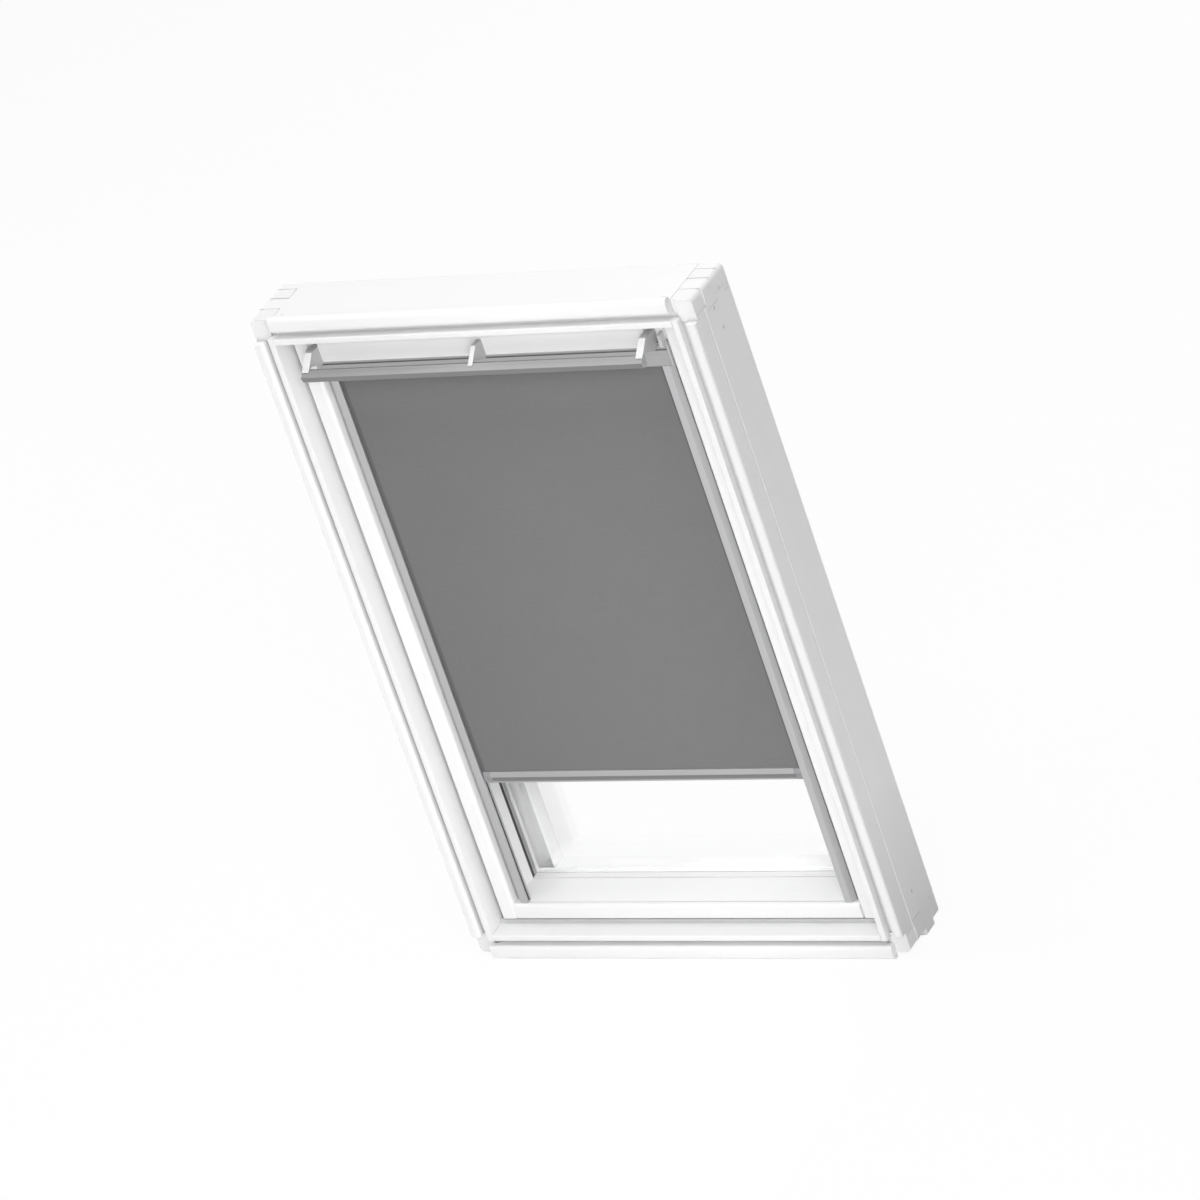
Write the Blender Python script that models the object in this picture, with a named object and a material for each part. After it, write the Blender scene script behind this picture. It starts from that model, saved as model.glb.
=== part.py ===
"""Centre-pivot roof window with its blackout roller blind, ventilation flap and control bar.

The window stands upright in its own frame. X runs across it, Z runs up the slope, and Y runs out
through the roof, so the room is at -Y. The origin is the middle of the frame's bottom outer face.
Sizes are in metres. Two shorthands are used all through: "inset" is the distance inwards from the
frame's outer face, and "depth" is the distance outwards from the frame's room-side face.
"""
import math

import bmesh
import bpy
from mathutils import Vector

# Wooden outer frame
FRAME_WIDTH = 0.780
FRAME_HEIGHT = 1.170
FRAME_DEPTH = 0.120
MEMBER_WIDTH = 0.039
OUTER_LIP = 0.018
LIP_FLAT = 0.010
LIP_FALL = 0.005
GROOVE_WIDTH = 0.011
GROOVE_DEPTH = 0.016
EDGE_ROUND = 0.0015
NOSE_RADIUS = 0.008
SIDE_STEP_DEPTH = 0.037
SIDE_STEP = 0.001

# Comb joints at the frame's corners
TOP_FINGER_DEPTHS = (0.0455, 0.077, 0.104)
BOTTOM_FINGER_DEPTHS = (0.040, 0.069, 0.098)
FINGER_ROUND = 0.008
FINGER_ROOT = 0.012
FINGER_EASE = 0.0004
HORN_PROUD = 0.008
HORN_ROUND = 0.004
BLOCK_FRONT = 0.0125
BLOCK_BACK = 0.022
BLOCK_WIDTH = 0.031
LIP_END = 0.036
NOSE_OVERRUN = 0.012

# Filled nail holes in the frame
NAIL_RADIUS = 0.0025
NAIL_DIMPLE = 0.0008
SIDE_NAILS_TOP = ((0.0629, 0.0445), (0.0916, 0.0252), (0.0702, 0.0814))
SIDE_NAILS_BOTTOM = ((0.0648, 0.0783),)
RAIL_NAIL_DEPTH = 0.024
RAIL_NAIL_INSET = 0.054

# Clearances
JOINT_GAP = 0.0003
SEAT_GAP = 0.0003
SASH_GAP = 0.0125

# Sash
SASH_FRONT = 0.030
SASH_WIDTH = 0.026
SASH_REBATE_DEPTH = 0.105
SASH_REBATE_WIDTH = 0.0135
SASH_BACK = 0.131
SASH_FRONT_ROUND = 0.006
RAIL_LINE = 0.0012
RAIL_LINE_DEPTH = 0.0015
RAIL_LINE_START = 0.0375

# Glazing
GASKET_DEPTH = 0.0137
PANE_THICKNESS = 0.004
SPACER_DEPTH = 0.007
PANE_EDGE_GAP = 0.002

# Outside covers
COVER_SHEET = 0.0012
COVER_BACK = 0.168
COVER_SKIRT_DEPTH = 0.118
COVER_SIGHT_INSET = 0.1047
COVER_BOTTOM_INSET = 0.079
COVER_ROUND = 0.003

# Pivot hinges
PIVOT_DEPTH = 0.075
PIVOT_PLATE = 0.003
PIVOT_PLATE_WIDTH = 0.036
PIVOT_PLATE_HEIGHT = 0.110
PIVOT_PLATE_ROUND = 0.006
PIVOT_HOUSING_RADIUS = 0.015
PIVOT_HOUSING_HEIGHT = 0.0045
PIVOT_PIN_RADIUS = 0.004
PIVOT_PIN_CLEARANCE = 0.00035

# Frame seals
SEAL_DEPTH = 0.060
SEAL_WIDTH = 0.012
SEAL_CLEARANCE = 0.0021
SEAL_END = 0.060
SEAL_PIVOT_GAP = 0.122
SILL_SEAL_DEPTH = 0.035
SILL_SEAL_WIDTH = 0.010
SILL_SEAL_HEIGHT = 0.0072
SILL_SEAL_END_GAP = 0.001

# Ventilation flap and control bar
FLAP_AXIS_DEPTH = 0.023
FLAP_AXIS_BELOW_TOP = 0.077
FLAP_BOSS_RADIUS = 0.006
FLAP_END_GAP = 0.0249
FLAP_RISE = 0.030
FLAP_TOP_ROUND = 0.003
ROD_RADIUS = 0.0025
ROD_CLEARANCE = 0.0004
BRACKET_THICKNESS = 0.012
CENTRE_BRACKET_THICKNESS = 0.008
BRACKET_TOP_DEPTH = -0.002
BRACKET_TOP_RISE = 0.024
BRACKET_TOE_DEPTH = -0.0274
BRACKET_HEEL_DEPTH = -0.0128
BRACKET_UNDER_DEPTH = 0.010
BAR_OUT = 0.034
BAR_NOSE_DROP = 0.001
BAR_TOP_RISE = 0.006
BAR_TOP_DEPTH = -0.023
BAR_DEPTH = 0.0155
BAR_FACE_LEAN = 0.003
BAR_HEIGHT = 0.010
BEARING_THICKNESS = 0.0055
BEARING_RISE = 0.017
VENT_INSET = 0.061
VENT_END_INSET = 0.140
VENT_HEIGHT = 0.006
VENT_DEPTH = 0.012

# Latch
LATCH_CASE_LENGTH = 0.060
LATCH_CASE_WIDTH = 0.040
LATCH_CASE_HEIGHT = 0.0072
BOLT_LENGTH = 0.012
BOLT_RISE = 0.002
BOLT_STEM = 0.014
BOLT_TRAVEL = 0.006
STRIKER_PLATE = 0.0015

# Blind casing and roller
CASING_HEIGHT = 0.044
CASING_DEPTH = 0.0495
CASING_WALL = 0.0016
CASING_TOP_GAP = 0.0015
CASING_SEAM_DROP = 0.0135
CASING_SEAM = 0.003
CASING_FOOT_ROUND = 0.0035
CASING_END = 0.0027
CASING_CLIP_LENGTH = 0.040
CASING_CLIP_OFFSET = 0.200
ROLLER_RADIUS = 0.013
ROLLER_WALL = 0.0012
ROLL_RADIUS = 0.0173
ROLLER_PIN_RADIUS = 0.003
ROLLER_PIN_LENGTH = 0.013
SPRING_LENGTH = 0.146
PLUG_LENGTH = 0.016

# Blind fabric, bottom bar and side channels
FABRIC_DEPTH = 0.0402
FABRIC_THICKNESS = 0.0006
FABRIC_EDGE_INSET = 0.100
BAR_BOTTOM_RAISED = 0.226
BOTTOM_BAR_HEIGHT = 0.0205
BOTTOM_BAR_END_INSET = 0.117
BAR_LIP_HEIGHT = 0.009
BAR_LIP_OUT = 0.004
BAR_TOE_HEIGHT = 0.004
BAR_THICKNESS = 0.0088
CHANNEL_SIGHT_INSET = 0.1033
CHANNEL_FRONT = 0.0345
CHANNEL_FACE = 0.0115
CHANNEL_BEVEL = 0.0072
CHANNEL_SLOT = 0.0036
CHANNEL_SLOT_DEPTH = 0.010
CHANNEL_LIP = 0.0043
CHANNEL_REAR = 0.0046
CHANNEL_FOOT_DEPTH = 0.064
GLIDE_TONGUE = 0.0095
GLIDE_CLEARANCE = 0.0003
SCREW_HEAD_RADIUS = 0.0035
SCREW_HEAD_HEIGHT = 0.002
SCREW_END_OFFSET = 0.0745

HALF_WIDTH = FRAME_WIDTH / 2
FRONT_Y = -FRAME_DEPTH / 2
SASH_OUTER = MEMBER_WIDTH + SASH_GAP
SASH_INNER = SASH_OUTER + SASH_WIDTH
REBATE_INSET = SASH_INNER - SASH_REBATE_WIDTH
PIVOT_Z = FRAME_HEIGHT / 2
FLAP_AXIS_Z = FRAME_HEIGHT - FLAP_AXIS_BELOW_TOP
CASING_TOP = FRAME_HEIGHT - SASH_INNER - CASING_TOP_GAP
CASING_BOTTOM = CASING_TOP - CASING_HEIGHT
CASING_FRONT = SASH_FRONT + 0.0005
ROLLER_DEPTH = FABRIC_DEPTH + FABRIC_THICKNESS + 0.0004 + ROLL_RADIUS
ROLLER_Z = (CASING_TOP + CASING_BOTTOM) / 2
BAR_BOTTOM = SASH_INNER + BAR_BOTTOM_RAISED
BAR_TOP = BAR_BOTTOM + BOTTOM_BAR_HEIGHT
FINE_ARC = 6
ROUND_SIDES = 32


def clear_scene():
    """Remove every object that the file holds."""
    for item in list(bpy.data.objects):
        bpy.data.objects.remove(item, do_unlink=True)


def finish(name, colour, roughness, metallic=0.0, alpha=1.0):
    """Make a Principled material."""
    material = bpy.data.materials.new(name)
    material.use_nodes = True
    shader = material.node_tree.nodes["Principled BSDF"]
    shader.inputs["Base Color"].default_value = (*colour, 1.0)
    shader.inputs["Roughness"].default_value = roughness
    shader.inputs["Metallic"].default_value = metallic
    shader.inputs["Alpha"].default_value = alpha
    material.diffuse_color = (*colour, alpha)
    return material


def rounded(corners, steps=3):
    """Turn corners (a, b) or (a, b, radius) into an outline with an arc at each radius."""
    outline = []
    count = len(corners)
    for index, corner in enumerate(corners):
        here = Vector(corner[:2])
        radius = corner[2] if len(corner) > 2 else 0.0
        if radius <= 0.0:
            outline.append(tuple(here))
            continue
        back = (Vector(corners[index - 1][:2]) - here).normalized()
        ahead = (Vector(corners[(index + 1) % count][:2]) - here).normalized()
        half_angle = back.angle(ahead) / 2
        reach = radius / math.tan(half_angle)
        centre = here + (back + ahead).normalized() * (radius / math.sin(half_angle))
        first = here + back * reach - centre
        last = here + ahead * reach - centre
        turn = first.angle_signed(last)
        for step in range(steps + 1):
            angle = -turn * step / steps
            spun = Vector((first.x * math.cos(angle) - first.y * math.sin(angle),
                           first.x * math.sin(angle) + first.y * math.cos(angle)))
            outline.append(tuple(centre + spun))
    return outline


def arc(centre, radius, start, end, steps):
    """Points along a circle, from one angle to another in degrees."""
    points = []
    for step in range(steps + 1):
        angle = math.radians(start + (end - start) * step / steps)
        points.append((centre[0] + radius * math.cos(angle), centre[1] + radius * math.sin(angle)))
    return points


def at(side, inset, depth, along):
    """Place a point of a side's section: inset and depth in the section, along the member."""
    y = FRONT_Y + depth
    if side == "left":
        return Vector((-HALF_WIDTH + inset, y, along))
    if side == "right":
        return Vector((HALF_WIDTH - inset, y, along))
    if side == "top":
        return Vector((along, y, FRAME_HEIGHT - inset))
    return Vector((along, y, inset))


def shape(name, rings, material, closed=False):
    """Build one mesh object from equal rings of points, capped at both ends unless closed."""
    mesh = bmesh.new()
    made = [[mesh.verts.new(point) for point in points] for points in rings]
    pairs = list(zip(made, made[1:]))
    if closed:
        pairs.append((made[-1], made[0]))
    else:
        mesh.faces.new(made[0])
        mesh.faces.new(made[-1])
    for loop, following in pairs:
        size = len(loop)
        for index in range(size):
            after = (index + 1) % size
            mesh.faces.new((loop[index], loop[after], following[after], following[index]))
    bmesh.ops.recalc_face_normals(mesh, faces=mesh.faces)
    low = Vector([min(vert.co[axis] for vert in mesh.verts) for axis in range(3)])
    high = Vector([max(vert.co[axis] for vert in mesh.verts) for axis in range(3)])
    middle = (low + high) / 2
    bmesh.ops.translate(mesh, verts=mesh.verts, vec=-middle)
    data = bpy.data.meshes.new(name)
    mesh.to_mesh(data)
    mesh.free()
    piece = bpy.data.objects.new(name, data)
    piece.location = middle
    bpy.context.scene.collection.objects.link(piece)
    if material is not None:
        data.materials.append(material)
    return piece


def run(name, side, outline, span, material=None):
    """Extrude a section of one side along that side, from one end of the span to the other."""
    rings = [[at(side, inset, depth, along) for inset, depth in outline] for along in span]
    return shape(name, rings, material)


def ring(name, outline, material):
    """Sweep a section round all four sides, mitred at the corners."""
    corners = []
    for mirror_x, upper in ((-1, False), (1, False), (1, True), (-1, True)):
        loop = []
        for inset, depth in outline:
            height = FRAME_HEIGHT - inset if upper else inset
            loop.append(Vector((mirror_x * (HALF_WIDTH - inset), FRONT_Y + depth, height)))
        corners.append(loop)
    return shape(name, corners, material, closed=True)


def across(name, outline, start, end, material=None):
    """Extrude an outline of (depth, height) points along X."""
    rings = [[Vector((x, FRONT_Y + depth, height)) for depth, height in outline] for x in (start, end)]
    return shape(name, rings, material)


def tube(name, depth, height, outer, inner, start, end, material=None):
    """Make a round tube along X, or a round bar where the inner radius is 0."""
    def circle(radius, x):
        points = arc((depth, height), radius, 0, 360 - 360 / ROUND_SIDES, ROUND_SIDES - 1)
        return [Vector((x, FRONT_Y + a, b)) for a, b in points]

    if inner <= 0.0:
        return shape(name, [circle(outer, start), circle(outer, end)], material)
    rings = [circle(outer, start), circle(outer, end), circle(inner, end), circle(inner, start)]
    return shape(name, rings, material, closed=True)


def post(name, x, depth, radius, low, high, material=None):
    """Make a round bar along Z."""
    points = arc((x, FRONT_Y + depth), radius, 0, 360 - 360 / ROUND_SIDES, ROUND_SIDES - 1)
    rings = [[Vector((a, b, height)) for a, b in points] for height in (low, high)]
    return shape(name, rings, material)


def block(name, insets, depths, span, side="left", material=None):
    """Make a rectangular piece from ranges of inset, depth and run along a side."""
    outline = [(insets[0], depths[0]), (insets[1], depths[0]),
               (insets[1], depths[1]), (insets[0], depths[1])]
    return run(name, side, outline, span, material)


def slab(name, xs, depths, heights, material=None):
    """Make a rectangular piece from ranges of x, depth and height."""
    outline = [(depths[0], heights[0]), (depths[1], heights[0]),
               (depths[1], heights[1]), (depths[0], heights[1])]
    return across(name, outline, xs[0], xs[1], material)


def tool(piece):
    """Hide a shape that only cuts or joins another."""
    piece.hide_render = True
    piece.display_type = 'WIRE'
    return piece


def combine(target, other, operation):
    """Add a Boolean to the target and hide its operand."""
    step = target.modifiers.new(operation.lower(), 'BOOLEAN')
    step.operation = operation
    step.solver = 'EXACT'
    step.object = tool(other)
    return target


def carve(target, *cutters):
    """Cut each cutter out of the target."""
    for cutter in cutters:
        combine(target, cutter, 'DIFFERENCE')
    return target


def fuse(target, *parts):
    """Join each part to the target."""
    for part in parts:
        combine(target, part, 'UNION')
    return target


def soften(piece, width, segments=2):
    """Round a piece's sharp edges."""
    step = piece.modifiers.new("bevel", 'BEVEL')
    step.width = width
    step.segments = segments
    step.limit_method = 'ANGLE'
    return piece


def smooth(piece, angle=40):
    """Shade a round piece smooth, with its sharp edges kept."""
    piece.data.shade_smooth()
    piece.data.set_sharp_from_angle(angle=math.radians(angle))
    return piece


def pivot_point(name, place):
    """Make the empty that moving pieces hang from, on their joint's axis."""
    empty = bpy.data.objects.new(name, None)
    empty.location = place
    bpy.context.scene.collection.objects.link(empty)
    return empty


def hang(parent, *pieces):
    """Parent pieces to an empty without moving them."""
    bpy.context.view_layer.update()
    for piece in pieces:
        piece.parent = parent
        piece.matrix_parent_inverse = parent.matrix_world.inverted()


def frame_section(nosed):
    """Section of a frame member: outer face, lip, lining groove, inner lip and reveal."""
    groove_far = OUTER_LIP + GROOVE_WIDTH
    if nosed:
        outer = [(0.0, FRAME_DEPTH)] + arc((0.0, NOSE_RADIUS), NOSE_RADIUS, 90, 270, 10)
    else:
        outer = [(0.0, FRAME_DEPTH), (0.0, SIDE_STEP_DEPTH + SIDE_STEP),
                 (SIDE_STEP, SIDE_STEP_DEPTH), (SIDE_STEP, 2 * EDGE_ROUND),
                 (SIDE_STEP + EDGE_ROUND, 0.0)]
    fall = []
    for step in range(1, FINE_ARC + 1):
        angle = math.pi / 2 * step / FINE_ARC
        fall.append((LIP_FLAT + (OUTER_LIP - LIP_FLAT) * math.sin(angle),
                     LIP_FALL * (1 - math.cos(angle))))
    inner = rounded([(OUTER_LIP, GROOVE_DEPTH), (groove_far, GROOVE_DEPTH),
                     (groove_far, 0.0, EDGE_ROUND), (MEMBER_WIDTH, 0.0, EDGE_ROUND),
                     (MEMBER_WIDTH, FRAME_DEPTH)])
    return outer + [(LIP_FLAT, 0.0)] + fall + inner


def finger(name, side, insets, depths, root, tip, outer_round=FINGER_ROUND, inner_round=0.0):
    """Finger of a comb joint, from its root inside the member to its end, round at its corners."""
    outline = rounded([(insets[0], root), (insets[0], tip, outer_round),
                       (insets[1], tip, inner_round), (insets[1], root)], 5)
    rings = [[at(side, inset, depth, along) for inset, along in outline] for depth in depths]
    return shape(name, rings, None)


def joint_depths(end):
    """Depths of the fingers at the frame's top or bottom: the side member's, then the rail's."""
    first, second, third = TOP_FINGER_DEPTHS if end == "top" else BOTTOM_FINGER_DEPTHS
    half_gap = JOINT_GAP / 2
    side_fingers = ((GROOVE_DEPTH + FINGER_EASE, first - half_gap - FINGER_EASE),
                    (second + half_gap + FINGER_EASE, third - half_gap - FINGER_EASE))
    rail_fingers = ((first + half_gap, second - half_gap), (third + half_gap, FRAME_DEPTH - FINGER_EASE))
    return side_fingers, rail_fingers


def build_frame_side(side, paint):
    """Side member, with a set-back block and two fingers at each end, and filled nail holes."""
    name = "frame_side_" + side
    groove_far = OUTER_LIP + GROOVE_WIDTH
    spill = FINGER_ROOT
    member = run(name, side, frame_section(False), (groove_far, FRAME_HEIGHT - groove_far), paint)
    for end, along, direction in (("bottom", 0.0, -1), ("top", FRAME_HEIGHT, 1)):
        label = f"{name}_{end}"
        (front_finger, rear_finger), rail_fingers = joint_depths(end)
        outside = along + direction * spill
        shoulder = along - direction * (MEMBER_WIDTH + JOINT_GAP)
        for index, (front, back) in enumerate(rail_fingers):
            reach = back + JOINT_GAP if index == 0 else FRAME_DEPTH + spill
            carve(member, block(f"{label}_notch_{index}", (-spill, MEMBER_WIDTH + spill),
                                (front - JOINT_GAP, reach), sorted((outside, shoulder)), side))
        lip_end = along - direction * LIP_END
        carve(member, block(f"{label}_lip_cut", (-spill, groove_far), (-spill, BLOCK_FRONT + EDGE_ROUND),
                            sorted((outside, lip_end)), side))
        fuse(member, finger(f"{label}_block", side, (SIDE_STEP + FINGER_EASE, BLOCK_WIDTH),
                            (BLOCK_FRONT, BLOCK_BACK), lip_end, along))
        root = along - direction * (groove_far + FINGER_ROOT)
        inner = MEMBER_WIDTH - FINGER_EASE
        fuse(member, finger(f"{label}_finger_front", side, (SIDE_STEP + FINGER_EASE, inner),
                            front_finger, root, along))
        horn = HORN_PROUD if end == "bottom" else 0.0
        corner = HORN_ROUND if horn else FINGER_ROUND
        fuse(member, finger(f"{label}_finger_rear", side, (FINGER_EASE, inner), rear_finger, root,
                            along + direction * horn, corner, horn / 2))
        nails = SIDE_NAILS_TOP if end == "top" else SIDE_NAILS_BOTTOM
        sign = -1 if side == "left" else 1
        span = sorted((sign * (HALF_WIDTH - NAIL_DIMPLE - FINGER_EASE), sign * (HALF_WIDTH + spill)))
        for index, (depth, from_end) in enumerate(nails):
            carve(member, tube(f"{label}_nail_{index}", depth, along - direction * from_end,
                               NAIL_RADIUS, 0.0, *span))


def build_frame_rail(side, paint):
    """Top or bottom rail, with two fingers at each end. The bottom one's nose overruns its ends."""
    name = "frame_" + side
    inner_half = HALF_WIDTH - MEMBER_WIDTH - JOINT_GAP
    overrun = NOSE_OVERRUN if side == "bottom" else 0.0
    spill = FINGER_ROOT
    member = run(name, side, frame_section(True), (-inner_half - overrun, inner_half + overrun), paint)
    rail_fingers = joint_depths(side)[1]
    for end, direction in (("left", -1), ("right", 1)):
        label = f"{name}_{end}"
        if overrun:
            beyond = sorted((direction * inner_half, direction * (inner_half + overrun + spill)))
            carve(member, block(f"{label}_behind", (-spill, MEMBER_WIDTH + spill),
                                (BLOCK_FRONT - JOINT_GAP, FRAME_DEPTH + spill), beyond, side),
                  block(f"{label}_above", (OUTER_LIP - FINGER_EASE, MEMBER_WIDTH + spill),
                        (-spill, BLOCK_FRONT + spill), beyond, side))
        root, tip = direction * (inner_half - FINGER_ROOT), direction * HALF_WIDTH
        for index, depths in enumerate(rail_fingers):
            fuse(member, finger(f"{label}_finger_{index}", side, (FINGER_EASE, MEMBER_WIDTH - FINGER_EASE),
                                depths, root, tip))
        if side == "top":
            carve(member, post(f"{label}_nail", direction * (HALF_WIDTH - RAIL_NAIL_INSET), RAIL_NAIL_DEPTH,
                               NAIL_RADIUS, FRAME_HEIGHT - NAIL_DIMPLE, FRAME_HEIGHT + spill))


def build_frame(paint):
    """Four frame members, comb-jointed at the corners, with a lining groove all round."""
    for side in ("left", "right"):
        build_frame_side(side, paint)
    for side in ("top", "bottom"):
        build_frame_rail(side, paint)


def build_sill_seal(rubber):
    """Seal that lies along the frame's bottom reveal, under the sash."""
    wall = MEMBER_WIDTH + SEAT_GAP
    crown = wall + SILL_SEAL_HEIGHT
    back = SILL_SEAL_DEPTH + SILL_SEAL_WIDTH
    half = HALF_WIDTH - MEMBER_WIDTH - SILL_SEAL_END_GAP
    outline = rounded([(wall, SILL_SEAL_DEPTH), (crown, SILL_SEAL_DEPTH, 0.002), (crown, back, 0.003),
                       (wall, back)])
    smooth(run("frame_seal_bottom", "bottom", outline, (-half, half), rubber))


def build_seals(rubber):
    """Bulb seals on the frame's side reveals, above and below the pivots."""
    wall = MEMBER_WIDTH + SEAT_GAP
    lip = SASH_OUTER - SEAL_CLEARANCE
    middle = SEAL_DEPTH + SEAL_WIDTH / 2
    foot = wall + 0.002
    outline = rounded([(wall, SEAL_DEPTH), (foot, SEAL_DEPTH), (lip, middle - SEAL_WIDTH / 4, 0.002),
                       (lip, middle + SEAL_WIDTH / 4, 0.002), (foot, SEAL_DEPTH + SEAL_WIDTH),
                       (wall, SEAL_DEPTH + SEAL_WIDTH)])
    lower = (SEAL_END, PIVOT_Z - SEAL_PIVOT_GAP / 2)
    upper = (PIVOT_Z + SEAL_PIVOT_GAP / 2, FRAME_HEIGHT - SEAL_END)
    for side in ("left", "right"):
        smooth(run("frame_seal_lower_" + side, side, outline, lower, rubber))
        smooth(run("frame_seal_upper_" + side, side, outline, upper, rubber))


def plate_outline():
    """Outline of a pivot plate, rounded at its corners."""
    half_width, half_height = PIVOT_PLATE_WIDTH / 2, PIVOT_PLATE_HEIGHT / 2
    return rounded([(PIVOT_DEPTH - half_width, PIVOT_Z - half_height, PIVOT_PLATE_ROUND),
                    (PIVOT_DEPTH + half_width, PIVOT_Z - half_height, PIVOT_PLATE_ROUND),
                    (PIVOT_DEPTH + half_width, PIVOT_Z + half_height, PIVOT_PLATE_ROUND),
                    (PIVOT_DEPTH - half_width, PIVOT_Z + half_height, PIVOT_PLATE_ROUND)])


def build_pivots(steel):
    """Pivot hinge halves: a housing on the frame, and an arm with a pin on the sash."""
    arms = []
    for side, sign in (("left", -1), ("right", 1)):
        wall = sign * (HALF_WIDTH - MEMBER_WIDTH - SEAT_GAP)
        face = wall - sign * PIVOT_PLATE
        crown = face - sign * PIVOT_HOUSING_HEIGHT
        plate = across("pivot_plate_" + side, plate_outline(), *sorted((wall, face)), steel)
        fuse(plate, tube(f"pivot_housing_{side}", PIVOT_DEPTH, PIVOT_Z, PIVOT_HOUSING_RADIUS, 0.0,
                         *sorted((face + sign * PIVOT_PLATE / 2, crown))))
        carve(plate, tube(f"pivot_hole_{side}", PIVOT_DEPTH, PIVOT_Z,
                          PIVOT_PIN_RADIUS + PIVOT_PIN_CLEARANCE, 0.0,
                          *sorted((face, crown - sign * PIVOT_PLATE))))
        sash_wall = sign * (HALF_WIDTH - SASH_OUTER + SEAT_GAP)
        arm_face = sash_wall + sign * PIVOT_PLATE
        tip = face - sign * SEAT_GAP
        arm = across("pivot_arm_" + side, plate_outline(), *sorted((sash_wall, arm_face)), steel)
        fuse(arm, tube(f"pivot_pin_{side}", PIVOT_DEPTH, PIVOT_Z, PIVOT_PIN_RADIUS, 0.0,
                       *sorted((arm_face - sign * PIVOT_PLATE / 2, tip))))
        arms.append(arm)
    return arms


def build_sash(paint):
    """Sash: two full-height stiles and two rails between them, rebated for the glass."""
    pieces = []
    face = [(SASH_OUTER, SASH_FRONT, EDGE_ROUND), (SASH_INNER, SASH_FRONT, SASH_FRONT_ROUND)]
    line = [(SASH_INNER, RAIL_LINE_START), (SASH_INNER - RAIL_LINE_DEPTH, RAIL_LINE_START),
            (SASH_INNER - RAIL_LINE_DEPTH, RAIL_LINE_START + RAIL_LINE),
            (SASH_INNER, RAIL_LINE_START + RAIL_LINE)]
    rebate = [(SASH_INNER, SASH_REBATE_DEPTH), (REBATE_INSET, SASH_REBATE_DEPTH),
              (REBATE_INSET, SASH_BACK), (SASH_OUTER, SASH_BACK)]
    stile_section = rounded(face + [(SASH_INNER, SASH_BACK), (SASH_OUTER, SASH_BACK)], 5)
    for side in ("left", "right"):
        stile = run("sash_stile_" + side, side, stile_section,
                    (SASH_OUTER, FRAME_HEIGHT - SASH_OUTER), paint)
        carve(stile, block("sash_rebate_" + side, (REBATE_INSET, SASH_INNER + SASH_REBATE_WIDTH),
                           (SASH_REBATE_DEPTH, SASH_BACK + SASH_REBATE_WIDTH),
                           (REBATE_INSET, FRAME_HEIGHT - REBATE_INSET), side))
        pieces.append(stile)
    half = HALF_WIDTH - SASH_INNER - JOINT_GAP
    bottom = run("sash_rail_bottom", "bottom", rounded(face + line + rebate, 5), (-half, half), paint)
    top = run("sash_rail_top", "top", rounded(face + rebate, 5), (-half, half), paint)
    half_vent = HALF_WIDTH - VENT_END_INSET
    carve(top, block("vent_slot", (VENT_INSET - VENT_HEIGHT / 2, VENT_INSET + VENT_HEIGHT / 2),
                     (SASH_FRONT - VENT_DEPTH, SASH_FRONT + VENT_DEPTH), (-half_vent, half_vent), "top"))
    half_bolt = BOLT_LENGTH / 2 + SEAT_GAP
    carve(top, block("bolt_mortise", (SASH_OUTER - BOLT_STEM, SASH_OUTER + BOLT_STEM + BOLT_TRAVEL),
                     (PIVOT_DEPTH - half_bolt, PIVOT_DEPTH + half_bolt), (-half_bolt, half_bolt), "top"))
    pieces += [bottom, top]
    return pieces


def build_glazing(rubber, glass, spacer_metal):
    """Glass unit on its gasket: inner pane, spacer and outer pane, stacked in the rebate."""
    pane_inset = REBATE_INSET + PANE_EDGE_GAP
    gasket_back = SASH_REBATE_DEPTH + SEAT_GAP + GASKET_DEPTH
    inner_pane = gasket_back + SEAT_GAP
    spacer = inner_pane + PANE_THICKNESS + SEAT_GAP
    outer_pane = spacer + SPACER_DEPTH + SEAT_GAP
    gasket = ring("glazing_gasket", [(REBATE_INSET + SEAT_GAP, SASH_REBATE_DEPTH + SEAT_GAP),
                                     (SASH_INNER, SASH_REBATE_DEPTH + SEAT_GAP),
                                     (SASH_INNER, gasket_back),
                                     (REBATE_INSET + SEAT_GAP, gasket_back)], rubber)
    spacer_frame = ring("glass_spacer", [(pane_inset, spacer), (SASH_INNER, spacer),
                                         (SASH_INNER, spacer + SPACER_DEPTH),
                                         (pane_inset, spacer + SPACER_DEPTH)], spacer_metal)
    panes = []
    half = HALF_WIDTH - pane_inset
    for name, depth in (("glass_pane_inner", inner_pane), ("glass_pane_outer", outer_pane)):
        panes.append(slab(name, (-half, half), (depth, depth + PANE_THICKNESS),
                          (pane_inset, FRAME_HEIGHT - pane_inset), glass))
    return [gasket, spacer_frame, *panes], outer_pane + PANE_THICKNESS


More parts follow.
